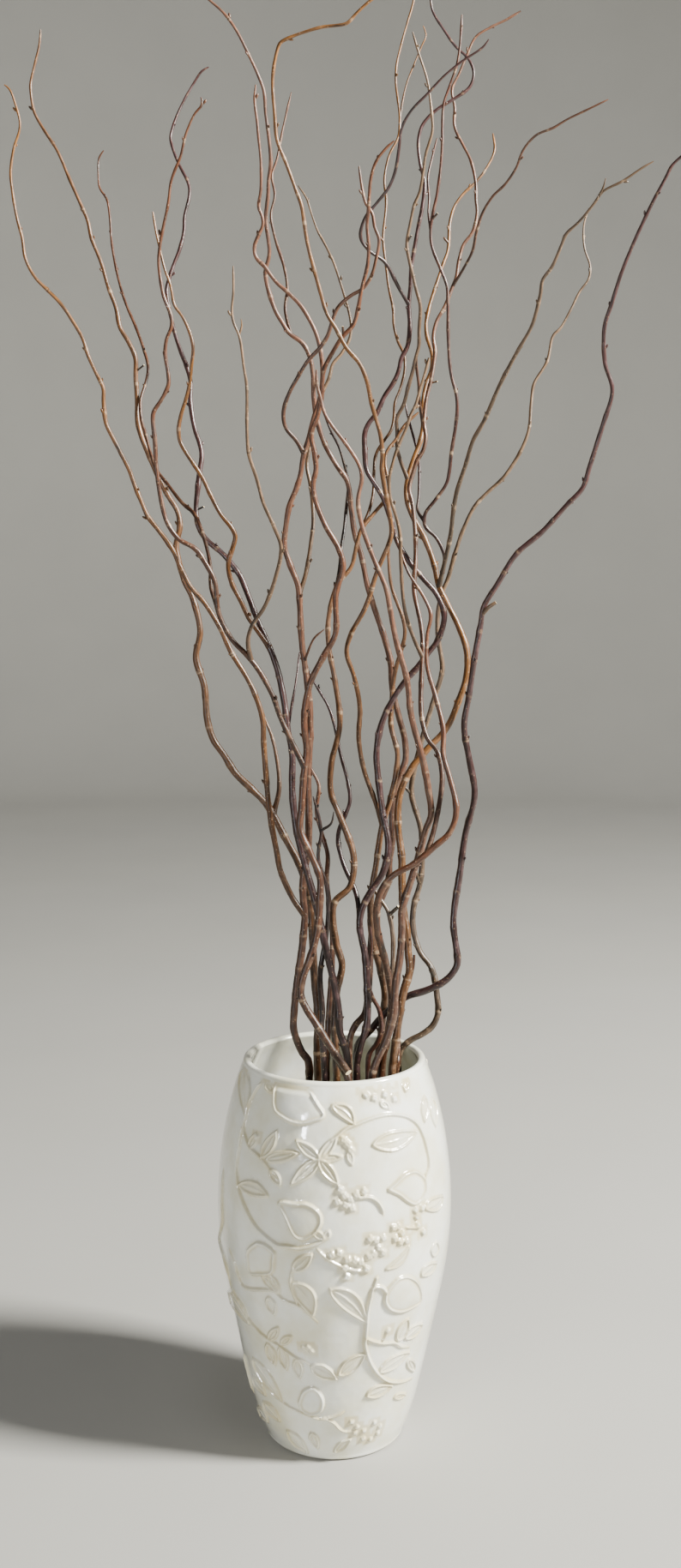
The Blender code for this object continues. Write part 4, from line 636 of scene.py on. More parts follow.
@dataclass
class Bunch:
    """All the strands, laid out in depth so that none runs through another."""
    strands: list[Strand]
    sample_step: float = 0.004
    curve_points: int = 16
    depth_softening: int = 40
    taper_power: float = 1.5
    drift_power: float = 1.5
    fork_share: float = 0.80
    stem_gap: float = 0.0013
    seen_margin: float = 0.0010
    rounds: int = 420
    push_share: float = 0.7
    push_spread: float = 5.0
    push_reach: int = 14
    root_reach: float = 0.050
    free_height: float = 0.030
    fuse_start: float = 0.012
    fuse_length: float = 0.045
    run_rows: int = 3
    run_partners: int = 5
    run_drift: int = 2
    settled: float = 0.00002
    foot_height: float = 0.0096
    foot_spread: float = 0.62
    mouth_height: float = 0.360
    neck_shares: tuple[float, ...] = (0.82, 0.91, 1.0)
    by_name: dict[str, Strand] = field(default_factory=dict)

    @staticmethod
    def lift(x: Array, z: Array, depth: Array) -> Array:
        """Move drawn points along the line of sight until they lie at the given depth."""
        scale = (EYE_DISTANCE + depth) / EYE_DISTANCE
        return np.stack([EYE[0] + (x - EYE[0]) * scale, depth, EYE[2] + (z - EYE[2]) * scale], axis=-1)

    @staticmethod
    def draw(point: Array) -> Point:
        """Where the eye sees a real point on the upright plane through the vase's axis."""
        scale = (EYE_DISTANCE + point[1]) / EYE_DISTANCE
        return EYE[0] + (point[0] - EYE[0]) / scale, EYE[2] + (point[2] - EYE[2]) / scale

    @classmethod
    def smooth(cls, points: Array, spacing: float) -> Array:
        """Sample a smooth curve through some points evenly.

        Args:
            points: The points that the curve runs through, flat or in space.
            spacing: The distance from sample to sample.
        Returns:
            The samples, with both ends kept.
        """
        points = np.asarray(points, dtype=float)
        chords = np.linalg.norm(np.diff(points, axis=0), axis=1)
        times = np.concatenate([[0.0], np.cumsum(np.sqrt(chords))])
        steps = np.diff(times)[:, None]
        slopes = np.diff(points, axis=0) / steps
        tangents = np.empty_like(points)
        tangents[0], tangents[-1] = slopes[0], slopes[-1]
        tangents[1:-1] = (slopes[:-1] * steps[1:] + slopes[1:] * steps[:-1]) / (steps[1:] + steps[:-1])
        dense = [points[:1]]
        t = np.linspace(0.0, 1.0, cls.curve_points + 1)[1:, None]
        for index in range(len(points) - 1):
            span = times[index + 1] - times[index]
            dense.append((2 * t**3 - 3 * t**2 + 1) * points[index]
                         + (t**3 - 2 * t**2 + t) * span * tangents[index]
                         + (3 * t**2 - 2 * t**3) * points[index + 1]
                         + (t**3 - t**2) * span * tangents[index + 1])
        dense = np.concatenate(dense)
        along = run_length(dense)
        count = max(int(math.ceil(along[-1] / spacing)) + 1, 3)
        wanted = np.linspace(0.0, along[-1], count)
        return np.stack([np.interp(wanted, along, column) for column in dense.T], axis=1)

    def foot_of(self, strand: Strand) -> Array:
        """Where a stem stands on the vase's floor."""
        return np.array([strand.mouth[0] * CM * self.foot_spread, strand.mouth[1] * CM * self.foot_spread,
                         self.foot_height])

    def taper(self, radii: tuple[float, float], share: Array) -> Array:
        """Radius along a strand, thinning faster towards its tip."""
        return (radii[1] + (radii[0] - radii[1]) * (1.0 - share ** self.taper_power)) * MM

    def lay_out_stem(self, strand: Strand) -> None:
        """Sample a stem from just inside the neck to its tip.

        Args:
            strand: The stem.
        """
        foot = self.foot_of(strand)
        mouth = np.array([strand.mouth[0] * CM, strand.mouth[1] * CM, self.mouth_height])
        below = [foot + (mouth - foot) * share for share in self.neck_shares]
        route = [self.draw(point) for point in below] + [(x * CM, z * CM) for x, z in strand.route]
        strand.samples = self.smooth(route, self.sample_step)
        heights = [self.draw(below[0])[1], self.draw(mouth)[1]] + [z * CM for z, _ in strand.depths]
        values = [below[0][1], mouth[1]] + [depth * CM for _, depth in strand.depths]
        strand.depth = np.interp(strand.samples[:, 1], heights, values)
        count = len(strand.samples)
        strand.length = np.linspace(0.0, 1.0, count) * self.sample_step * (count - 1)
        above = strand.length - np.linalg.norm(np.array(route[2]) - np.array(route[0]))
        soft = strand.depth.copy()
        for _ in range(self.depth_softening):
            ease_along(soft)
        strand.depth = np.where(above <= 0.0, strand.depth, soft)
        strand.freedom = np.clip(above / self.free_height, 0.0, 1.0)
        strand.radius = self.taper(strand.radii, np.clip(above / above[-1], 0.0, 1.0))

    def lay_out_fork(self, strand: Strand, parent: Strand) -> None:
        """Sample a fork from the middle of its parent to its tip.

        Args:
            strand: The fork.
            parent: The strand that it leaves.
        """
        route = np.array(strand.route) * CM
        strand.root_index = int(np.argmin(np.linalg.norm(parent.samples - route[0], axis=1)))
        route[0] = parent.samples[strand.root_index]
        strand.samples = self.smooth(route, self.sample_step)
        count = len(strand.samples)
        strand.length = np.linspace(0.0, 1.0, count) * self.sample_step * (count - 1)
        share = strand.length / strand.length[-1]
        root_depth = parent.depth[strand.root_index]
        drift = 1.0 - (1.0 - share) ** self.drift_power
        strand.depth = root_depth + (strand.depths[0][1] * CM - root_depth) * drift
        strand.freedom = np.clip(strand.length / self.free_height, 0.0, 1.0)
        widest = parent.radius[strand.root_index] / MM * self.fork_share
        strand.radii = (min(strand.radii[0], widest), min(strand.radii[1], widest))
        strand.radius = self.taper(strand.radii, share)

    def lay_out(self) -> None:
        """Sample every strand, parents first, then part those that cross."""
        for strand in self.strands:
            self.by_name[strand.name] = strand
            if strand.parent:
                self.lay_out_fork(strand, self.by_name[strand.parent])
            else:
                self.lay_out_stem(strand)
        self.part_strands()

    def contact_need(self, first: Strand, second: Strand, rows: Array, partners: Array) -> Array:
        """How far apart the middles of two strands should be, near each pair of samples.

        Args:
            first: The strand that comes first in the table.
            second: The other strand.
            rows: Samples of the first strand.
            partners: The second strand's sample for each of them.
        Returns:
            The distance for each pair, in metres, and none where one strand grows out of the other.
        """
        need = first.radius[rows] + second.radius[partners] + self.stem_gap
        if second.parent == first.name:
            need = need * np.clip((second.length[partners] - self.fuse_start) / self.fuse_length, 0.0, 1.0)
        if second.parent == first.parent and second.parent:
            apart = abs(first.root_index - second.root_index) * self.sample_step
            reach = np.maximum(first.length[rows], second.length[partners]) + apart
            need = need * np.clip((reach - self.fuse_start) / self.fuse_length, 0.0, 1.0)
        return need

    def group_contacts(self, rows: Array, partners: Array) -> Array:
        """Number the runs of neighbouring contacts between two strands.

        Args:
            rows: Samples of the first strand.
            partners: The second strand's sample for each of them.
        Returns:
            The run that each pair belongs to.
        """
        order = np.lexsort((partners, rows))
        groups = np.zeros(len(order), dtype=int)
        current = 0
        last_row = rows[order[0]]
        low = high = partners[order[0]]
        for place in order:
            row, partner = rows[place], partners[place]
            skipped = partner < low - self.run_partners or partner > high + self.run_partners
            if row - last_row > self.run_rows or skipped:
                current += 1
                low = high = partner
            if row != last_row:
                low = min(partner, low + self.run_drift)
                high = max(partner, high - self.run_drift)
            low, high = min(low, partner), max(high, partner)
            last_row = row
            groups[place] = current
        return groups

    def find_contacts(self, starts: Array) -> tuple[Array, Array, Array, Array]:
        """Find each pair of samples that the eye sees closer together than their stems may be.

        Args:
            starts: The row of each strand's first sample.
        Returns:
            The rows of both samples, the distance that they need, and which of them is behind.
        """
        found = []
        for number, first in enumerate(self.strands):
            for other in range(number + 1, len(self.strands)):
                second = self.strands[other]
                offsets = first.samples[:, None, :] - second.samples[None, :, :]
                seen = np.hypot(offsets[..., 0], offsets[..., 1])
                reach = first.radius[:, None] + second.radius[None, :] + self.stem_gap + self.seen_margin
                rows, partners = np.nonzero(seen < reach)
                if len(rows) == 0:
                    continue
                need = self.contact_need(first, second, rows, partners)
                groups = self.group_contacts(rows, partners)
                difference = first.depth[rows] - second.depth[partners]
                sign = np.ones(len(groups))
                for group in range(groups.max() + 1):
                    chosen = groups == group
                    sign[chosen] = 1.0 if difference[chosen].mean() >= 0.0 else -1.0
                found.append(np.stack([rows + starts[number], partners + starts[other], need, sign], axis=1))
        found = np.concatenate(found)
        found = found[found[:, 2] > 0.0]
        return found[:, 0].astype(int), found[:, 1].astype(int), found[:, 2], found[:, 3]

    def spread_push(self, push: Array, starts: Array, ends: Array) -> Array:
        """Widen each push into a smooth bump along its own strand.

        Args:
            push: The push at each sample of the whole bunch.
            starts: The row of each strand's first sample.
            ends: The row past each strand's last sample.
        Returns:
            The widened pushes.
        """
        wide = push.copy()
        for start, end in zip(starts, ends):
            own = push[start:end]
            best = own.copy()
            for offset in range(1, min(self.push_reach, end - start)):
                weight = math.exp(-0.5 * (offset / self.push_spread) ** 2)
                best[offset:] = np.maximum(best[offset:], own[:-offset] * weight)
                best[:-offset] = np.maximum(best[:-offset], own[offset:] * weight)
            wide[start:end] = best
        return wide

    def part_strands(self) -> None:
        """Push crossing strands apart in depth until each pair passes clear."""
        ends = np.cumsum([len(strand.samples) for strand in self.strands])
        starts = ends - [len(strand.samples) for strand in self.strands]
        first, second, need, sign = self.find_contacts(starts)
        sketch = np.concatenate([strand.samples for strand in self.strands])
        depth = np.concatenate([strand.depth for strand in self.strands])
        freedom = np.concatenate([strand.freedom for strand in self.strands])
        ease = freedom / np.concatenate([strand.radius for strand in self.strands])
        total = np.maximum(ease[first] + ease[second], 1e-9)
        for _ in range(self.rounds):
            points = self.lift(sketch[:, 0], sketch[:, 1], depth)
            gap = points[first] - points[second]
            sideways = np.maximum((gap ** 2).sum(axis=1) - gap[:, 1] ** 2, 0.0)
            wanted = np.sqrt(np.maximum(need ** 2 - sideways, 0.0))
            missing = np.maximum(wanted - sign * gap[:, 1], 0.0)
            missing[wanted == 0.0] = 0.0
            if missing.max() < self.settled:
                break
            forward, backward = np.zeros(len(depth)), np.zeros(len(depth))
            for rows, direction in ((first, sign), (second, -sign)):
                amount = self.push_share * missing * ease[rows] / total
                back = direction > 0
                np.maximum.at(backward, rows[back], amount[back])
                np.maximum.at(forward, rows[~back], amount[~back])
            move = self.spread_push(backward, starts, ends) - self.spread_push(forward, starts, ends)
            depth = depth + move * freedom
            self.follow_parents(depth, starts)
        for strand, start, end in zip(self.strands, starts, ends):
            strand.depth = depth[start:end]

    def follow_parents(self, depth: Array, starts: Array) -> None:
        """Carry each fork's root to the depth that its parent now has there.

        Args:
            depth: The depth of each sample of the whole bunch, which is changed in place.
            starts: The row of each strand's first sample.
        """
        place = {strand.name: start for strand, start in zip(self.strands, starts)}
        for strand in self.strands:
            if strand.parent:
                start = place[strand.name]
                shift = depth[place[strand.parent] + strand.root_index] - depth[start]
                depth[start:start + len(strand.samples)] += shift * np.exp(-strand.length / self.root_reach)

    def real_line(self, strand: Strand) -> tuple[Array, Array]:
        """A strand's middle line in space, with its radii.

        Args:
            strand: The strand, laid out.
        Returns:
            The points and the radius at each, from the vase's floor upwards for a stem.
        """
        line = self.lift(strand.samples[:, 0], strand.samples[:, 1], strand.depth)
        if strand.parent:
            return line, strand.radius
        return (np.concatenate([self.foot_of(strand)[None, :], line]),
                np.concatenate([strand.radius[:1], strand.radius]))

    def trunk_of(self, strand: Strand) -> Strand:
        """The stem that a strand grows from in the end.

        Args:
            strand: The strand.
        Returns:
            Its stem.
        """
        while strand.parent:
            strand = self.by_name[strand.parent]
        return strand


# The stems: their shapes

@dataclass
class GrownLine:
    """Points along one piece of wood, with what each of them carries."""
    points: Array
    radius: Array
    tone: Array
    knot: Array
    along: Array
    cut: bool = False


@dataclass
class BudPoint:
    """A bud at rest on the bark: where it sits, which way it points, its length and its colour."""
    place: Array
    heading: Array
    length: float
    tone: Array


@dataclass
class WillowStem:
    """One willow stem with its forks, knots, pruned ends and buds, as a single piece."""
    number: int
    trunk: Strand
    family: list[Strand]
    bunch: Bunch
    bark: BarkFinish
    ring_gap: float = 0.0027
    tube_sides: int = 10
    knot_gap: tuple[float, float] = (0.026, 0.052)
    knot_crowding: float = 0.35
    bare_foot: float = 4.0
    bare_tip: float = 0.006
    tip_length: float = 0.010
    knot_swell: float = 0.16
    knot_reach: float = 0.0030
    scar_reach: float = 0.0009
    collar_swell: float = 0.38
    collar_reach: float = 0.0075
    bud_share: float = 0.62
    bud_length: tuple[float, float] = (0.0026, 0.0052)
    bud_turn: float = math.radians(137.5)
    lowest_bud: float = 0.37
    wobble: float = 0.09
    wobble_sizes: tuple[float, ...] = (0.004, 0.009, 0.017)
    lump: float = 0.00032
    lump_size: float = 0.0065
    # painted shade: the bark darkens by height to half its colour at the vase's mouth and inside it
    painted_shade_heights: tuple[float, float] = (0.34, 0.78)
    painted_mouth_shade: float = 0.50
    knob_shape: tuple[float, ...] = (1.0, 1.0, 1.0, 1.05, 1.15, 1.2, 1.1, 0.85, 0.4)
    cut_reach: float = 0.0012
    knot_strength: Point = (0.5, 1.0)
    tip_share: float = 0.35
    ageing: Point = (1.15, 0.10)
    bud_seat: float = 0.88
    bud_lean: Point = (0.86, 0.42)
    bud_shade: Point = (0.55, 0.95)
    spur_root: float = 0.25
    spur_roughness: float = 0.04
    skin_steps: Point = (0.31, 0.17)
    seed: int = 700
    helpers: tuple[str, ...] = ("shift", "heading", "bud", "around", "thickness")

    @property
    def solid(self) -> str:
        """The name of the solid that the stem stands for."""
        return f"willow_stem_{self.number:02d}"

    def tone_of(self, strand: Strand) -> BarkTone:
        """The bark colours of a strand, taken from what it grows on if it has none of its own.

        Args:
            strand: The strand.
        Returns:
            Its tone.
        """
        while strand.name not in TONES:
            strand = self.bunch.by_name[strand.parent]
        return TONES[strand.name]

    def grow(self, strand: Strand, dice: Dice) -> tuple[GrownLine, list[BudPoint]]:
        """Grow one strand's wood and its buds.

        Args:
            strand: The laid-out strand.
            dice: The stem's own seeded random numbers.
        Returns:
            The line of the wood and the buds on it.
        """
        line, radii = self.bunch.real_line(strand)
        along = run_length(line)
        points = self.bunch.smooth(line, self.ring_gap)
        place = np.linspace(0.0, along[-1], len(points))
        radius = np.interp(place, along, radii)
        share = place / place[-1]
        knots = []
        at = dice.uniform(*self.knot_gap) * (1.0 if strand.parent else self.bare_foot)
        while at < place[-1] - self.bare_tip:
            knots.append(at)
            at += dice.uniform(*self.knot_gap) * (1.0 - self.knot_crowding * at / place[-1])
        swell = np.zeros(len(points))
        knot = np.zeros(len(points))
        for at in knots:
            swell += np.exp(-((place - at) / self.knot_reach) ** 2) * dice.uniform(*self.knot_strength)
            scar = np.exp(-((place - at) / self.scar_reach) ** 2) * dice.uniform(*self.knot_strength)
            knot = np.maximum(knot, scar)
        wave = sum(np.sin(place / size + dice.uniform(0.0, math.tau)) for size in self.wobble_sizes)
        wave = wave / len(self.wobble_sizes)
        radius = radius * (1.0 + self.knot_swell * swell + self.wobble * wave)
        if strand.parent:
            radius = radius * (1.0 + self.collar_swell * np.exp(-place / self.collar_reach))
        cut = strand.name in PRUNED
        if not cut:
            blunt = self.tip_share + (place[-1] - place) / self.tip_length
            radius = radius * np.sqrt(np.clip(blunt, 0.0, 1.0))
        low, high = (np.array(linear(colour)[:3]) for colour in self.tone_of(strand).value)
        young = np.clip(share * self.ageing[0] + self.ageing[1] * wave, 0.0, 1.0)[:, None]
        # painted shade: darken the bark towards the vase's mouth
        shade = np.interp(points[:, 2], self.painted_shade_heights, (self.painted_mouth_shade, 1.0))[:, None]
        tone = (low * (1.0 - young) + high * young) * shade
        return (GrownLine(points, radius, tone, knot, place, cut),
                self.find_buds(points, place, radius, tone, knots, dice))

    def find_buds(self, points: Array, place: Array, radius: Array, tone: Array,
                  knots: list[float], dice: Dice) -> list[BudPoint]:
        """Set buds on a strand's knots, each a third of a turn or more round from the last.

        Args:
            points: The strand's middle line.
            place: Length along the strand at each point.
            radius: Radius at each point.
            tone: Bark colour at each point.
            knots: Lengths at which the strand has knots.
            dice: The stem's own seeded random numbers.
        Returns:
            The buds.
        """
        buds = []
        turn = dice.uniform(0.0, math.tau)
        for at in knots:
            turn += self.bud_turn
            row = int(np.argmin(np.abs(place - at)))
            if dice.uniform() > self.bud_share or points[row, 2] < self.lowest_bud:
                continue
            ahead = points[min(row + 1, len(points) - 1)] - points[max(row - 1, 0)]
            ahead = ahead / np.linalg.norm(ahead)
            side = np.cross(ahead, [0.0, 1.0, 0.0])
            side = side / max(np.linalg.norm(side), 1e-6)
            out = math.cos(turn) * side + math.sin(turn) * np.cross(ahead, side)
            heading = ahead * self.bud_lean[0] + out * self.bud_lean[1]
            buds.append(BudPoint(points[row] + out * radius[row] * self.bud_seat, heading,
                                 dice.uniform(*self.bud_length), tone[row] * dice.uniform(*self.bud_shade)))
        return buds

    def grow_spur(self, spur: Spur, dice: Dice) -> GrownLine:
        """Grow a pruned side shoot out of its strand.

        Args:
            spur: The shoot, as drawn.
            dice: The stem's own seeded random numbers.
        Returns:
            The line of its wood.
        """
        strand = self.bunch.by_name[spur.strand]
        root = np.array(spur.root) * CM
        row = int(np.argmin(np.linalg.norm(strand.samples - root, axis=1)))
        start, end = strand.samples[row], np.array(spur.end) * CM
        count = len(self.knob_shape)
        share = np.linspace(0.0, 1.0, count)
        line = start + (end - start) * share[:, None]
        depth = strand.depth[row] - spur.forward * np.linalg.norm(end - start) * share
        points = self.bunch.lift(line[:, 0], line[:, 1], depth)
        rough = dice.uniform(-1.0, 1.0, count)
        widening = 1.0 + self.spur_root * (1.0 - share) ** 2 + self.spur_roughness * rough
        radius = spur.radius_mm * MM * widening
        if not spur.cut:
            radius = radius * self.knob_shape
        tone = np.tile(np.array(linear(self.tone_of(strand).value[0])[:3]), (count, 1))
        # painted shade: the same darkening towards the vase's mouth as on the strands
        tone *= np.interp(points[:, 2], self.painted_shade_heights, (self.painted_mouth_shade, 1.0))[:, None]
        along = np.linspace(0.0, np.linalg.norm(points[-1] - points[0]), count)
        return GrownLine(points, radius, tone, np.zeros(count), along, spur.cut)

    def drawing(self) -> tuple[Mesh, list[Array]]:
        """Draw the whole stem as lines and loose bud points, for the node tree to turn into wood.

        Returns:
            The mesh, and the places of the stem's clean cuts.
        """
        dice = np.random.default_rng(self.seed + self.number)
        lines, buds = [], []
        for strand in [self.trunk] + self.family:
            grown, set_buds = self.grow(strand, dice)
            lines.append(grown)
            buds += set_buds
        names = {strand.name for strand in [self.trunk] + self.family}
        lines += [self.grow_spur(spur, dice) for spur in SPURS if spur.strand in names]
        mesh = bpy.data.meshes.new(self.solid)
        count = sum(len(line.points) for line in lines)
        edges, start = [], 0
        for line in lines:
            edges += [(start + i, start + i + 1) for i in range(len(line.points) - 1)]
            start += len(line.points)
        points = np.concatenate([line.points for line in lines] + [np.array([bud.place]) for bud in buds])
        mesh.from_pydata(points.tolist(), edges, [])
        apart, across = self.skin_steps
        shifts = [np.full((len(line.points), 3), (apart * order, across * self.number, 0.0))
                  for order, line in enumerate(lines)]
        for order, line in enumerate(lines):
            shifts[order][:, 2] = line.along
        blank = len(buds)
        self.store(mesh, "thickness", "FLOAT", np.concatenate([line.radius for line in lines] + [
            np.array([bud.length for bud in buds])]))
        self.store(mesh, "tone", "FLOAT_COLOR", np.pad(np.concatenate(
            [line.tone for line in lines] + [np.array([bud.tone]) for bud in buds]), ((0, 0), (0, 1)),
            constant_values=1.0))
        self.store(mesh, "knot", "FLOAT", np.concatenate([line.knot for line in lines] + [np.zeros(blank)]))
        self.store(mesh, "shift", "FLOAT_VECTOR", np.concatenate(shifts + [np.zeros((blank, 3))]))
        self.store(mesh, "heading", "FLOAT_VECTOR", np.concatenate(
            [np.zeros((count, 3))] + [np.array([bud.heading]) for bud in buds]))
        self.store(mesh, "bud", "BOOLEAN", np.arange(len(points)) >= count)
        return mesh, [line.points[-1] for line in lines if line.cut]

    @staticmethod
    def store(mesh: Mesh, name: str, kind: str, values: Array) -> None:
        """Write one value for each point of a mesh.

        Args:
            mesh: The mesh.
            name: The attribute's name.
            kind: The attribute's data type.
            values: The values, one row a point.
        """
        layer = mesh.attributes.new(name, kind, "POINT")
        key = {"FLOAT": "value", "BOOLEAN": "value", "FLOAT_COLOR": "color", "FLOAT_VECTOR": "vector"}[kind]
        layer.data.foreach_set(key, np.ascontiguousarray(values).ravel())

    @classmethod
    def wood_tree(cls) -> Tree:
        """Build the node tree that turns lines into wood and loose points into buds.

        Returns:
            The tree, with its sides, lump height, lump size and material as named inputs.
        """
        tree = bpy.data.node_groups.new("WillowWood", "GeometryNodeTree")
        for name, way, kind in (("Drawing", "INPUT", "Geometry"), ("Sides", "INPUT", "Int"),
                                ("Lump Height", "INPUT", "Float"), ("Lump Size", "INPUT", "Float"),
                                ("Bark", "INPUT", "Material"), ("Wood", "OUTPUT", "Geometry")):
            tree.interface.new_socket(name, in_out=way, socket_type=f"NodeSocket{kind}")
        given = add_node(tree, "NodeGroupInput").outputs
        thickness, shift, is_bud, heading, around = (
            add_node(tree, "GeometryNodeInputNamedAttribute", {"Name": name}, data_type=kind).outputs[0]
            for name, kind in (("thickness", "FLOAT"), ("shift", "FLOAT_VECTOR"), ("bud", "BOOLEAN"),
                               ("heading", "FLOAT_VECTOR"), ("around", "FLOAT_VECTOR")))
        spot = add_node(tree, "GeometryNodeInputPosition").outputs[0]
        # The wood
        lines = add_node(tree, "GeometryNodeMeshToCurve", {"Mesh": given["Drawing"]}).outputs[0]
        ring = add_node(tree, "GeometryNodeCurvePrimitiveCircle", {
            "Resolution": given["Sides"], "Radius": 1.0}).outputs[0]
        tube = add_node(tree, "GeometryNodeCurveToMesh", {
            "Curve": lines, "Profile Curve": cls.keep(tree, ring, "around", spot), "Scale": thickness,
            "Fill Caps": True}).outputs[0]
        skin = add_node(tree, "ShaderNodeVectorMath", {0: grade(tree, around, thickness), 1: shift},
                        operation="ADD").outputs[0]
        lumps = add_node(tree, "ShaderNodeTexNoise", {
            "Vector": skin, "Scale": reckon(tree, "DIVIDE", 1.0, given["Lump Size"]),
            "Detail": 2.0}).outputs["Fac"]
        height = reckon(tree, "MULTIPLY", reckon(tree, "SUBTRACT", lumps, 0.5), given["Lump Height"])
        outward = add_node(tree, "GeometryNodeInputNormal").outputs[0]
        wood = add_node(tree, "GeometryNodeSetPosition", {
            "Geometry": cls.keep(tree, tube, "skin", skin),
            "Offset": grade(tree, outward, height)}).outputs[0]
        # The buds
        egg = add_node(tree, "GeometryNodeMeshUVSphere", {
            "Segments": 7, "Rings": 5, "Radius": 0.5}).outputs[0]
        slim = add_node(tree, "GeometryNodeTransform", {
            "Geometry": egg, "Translation": (0.0, 0.0, 0.42), "Scale": (0.44, 0.36, 1.0)}).outputs[0]
        lean = add_node(tree, "FunctionNodeAlignRotationToVector", {"Vector": heading}, axis="Z").outputs[0]
        buds = add_node(tree, "GeometryNodeInstanceOnPoints", {
            "Points": given["Drawing"], "Selection": is_bud, "Instance": slim, "Rotation": lean,
            "Scale": thickness}).outputs[0]
        real_buds = add_node(tree, "GeometryNodeRealizeInstances", {"Geometry": buds}).outputs[0]
        both = add_node(tree, "GeometryNodeJoinGeometry")
        tree.links.new(wood, both.inputs[0])
        tree.links.new(cls.keep(tree, real_buds, "skin", spot), both.inputs[0])
        smooth = add_node(tree, "GeometryNodeSetShadeSmooth", {"Geometry": both.outputs[0]}).outputs[0]
        real = add_node(tree, "GeometryNodeRealizeInstances", {"Geometry": smooth}).outputs[0]
        dressed = add_node(tree, "GeometryNodeSetMaterial", {"Geometry": real, "Material": given["Bark"]})
        add_node(tree, "NodeGroupOutput", {0: dressed.outputs[0]})
        return tree

    @staticmethod
    def keep(tree: Tree, geometry: Socket, name: str, value: Socket) -> Socket:
        """Store a vector on a geometry's points under a name."""
        return add_node(tree, "GeometryNodeStoreNamedAttribute", {
            "Geometry": geometry, "Name": name, "Value": value},
                        data_type="FLOAT_VECTOR", domain="POINT").outputs[0]

    def build(self, tree: Tree, bark: Material, wood: Material) -> None:
        """Turn the drawing into wood, bake it and hand it over.

        Args:
            tree: The node tree for wood.
            bark: The bark's material.
            wood: The cut wood's material.
        """
        drawing, cuts = self.drawing()
        draft = link_object(f"{self.solid}_drawing", drawing)
        growth = draft.modifiers.new("growth", "NODES")
        growth.node_group = tree
        sockets = {item.name: item.identifier for item in tree.interface.items_tree if item.in_out == "INPUT"}
        growth[sockets["Sides"]] = self.tube_sides
        growth[sockets["Lump Height"]] = self.lump
        growth[sockets["Lump Size"]] = self.lump_size
        growth[sockets["Bark"]] = bark
        mesh = baked(draft, f"{self.solid}_bark")
        mesh.materials.append(wood)
        for face in mesh.polygons:
            near = any((face.center - Vector(cut)).length < self.cut_reach for cut in cuts)
            if near and len(face.vertices) > 4:
                face.material_index = len(mesh.materials) - 1
                face.use_smooth = False
        for name in self.helpers:
            if name in mesh.attributes:
                mesh.attributes.remove(mesh.attributes[name])
        hand_over(link_object(mesh.name, mesh), self.solid)


# The vase's ornament, drawn as the eye sees it from the front: leaves in centimetres, and the rest in
# half millimetres

@dataclass(frozen=True)
class Vine:
    """A raised tendril: its course, and its width and height at the thick end, in millimetres."""
    course: str
    width: float = 2.6
    height: float = 1.9
    thin_ends: tuple[float, float] = (0.55, 0.35)


@dataclass(frozen=True)
class Leaf:
    """A leaf with a raised edge: its base, tip and width in centimetres, its bend, and its rib."""
    base_x: float
    base_z: float
    tip_x: float
    tip_z: float
    width: float
    bend: float = 0.0
    rib: float = 1.0


@dataclass(frozen=True)
class Fruit:
    """A plump fruit with a raised edge, drawn by its outline."""
    outline: str
    dome: float = 1.5


@dataclass(frozen=True)
class Beads:
    """A cluster of berries or blossom beads of one size in millimetres."""
    places: str
    radius: float = 3.6
    height: float = 2.2


VINES = (
    Vine("""
    -120,680 -134,668 -145,652 -153,636 -159,618 -162,604 -166,588 -166,572 -162,556 -156,542 -143,530
    -134,520 -126,510 -116,496 -108,484"""),
    Vine("""
    -166,588 -170,576 -174,552 -178,528 -181,502 -179,480 -177,462 -172,444 -165,427 -157,410 -146,391
    -133,376 -118,363 -104,354 -88,352 -67,348 -46,352 -30,358 -16,366""", 3.2, 2.2, (0.8, 0.7)),
    Vine("-32,346 -18,332 -6,323 6,316 26,308 46,304 62,303"),
    Vine("""
    -6,556 8,568 21,579 40,587 58,595 79,602 100,606 119,605 136,600 151,588 161,570 168,548 173,526 174,504
    167,484 166,460""", 2.8, 1.9, (0.8, 0.6)),
    Vine("""
    -196,346 -187,322 -179,294 -170,274 -155,268 -134,267 -112,264 -99,250 -83,242 -67,236 -54,224 -43,214
    -32,202"""),
    Vine("-80,304 -82,276 -75,254 -67,236", 2.3),
    Vine("-190,266 -174,236 -164,215 -150,195 -137,180 -121,168 -105,157 -88,144 -75,134 -57,125 -43,115"),
    Vine("-100,46 -84,34 -65,24 -44,15 -30,10 -14,9 0,1 10,-10 24,-16 40,-12", 2.2),
    Vine("-30,10 0,15 18,24", 2.0),
    Vine("""
    96,262 88,272 73,271 67,251 62,226 60,198 58,172 57,161 61,140 68,121 81,101 97,88 113,84 132,85
    146,91""", 3.4, 2.3, (0.9, 0.4)),
    Vine("73,271 80,293", 3.0),
    Vine("58,172 73,165 92,161 113,162 124,155 140,152", 2.4),
    Vine("89,164 100,186", 1.9),
    Vine("45,446 66,447 80,438 88,424 91,412", 3.0, 2.3, (1.0, 0.3)),
    Vine("133,388 155,388", 2.2),
    Vine("-206,500 -208,440 -208,400 -214,366 -206,330 -198,296 -194,270", 2.6),
    Vine("-170,138 -152,62", 2.2),
)
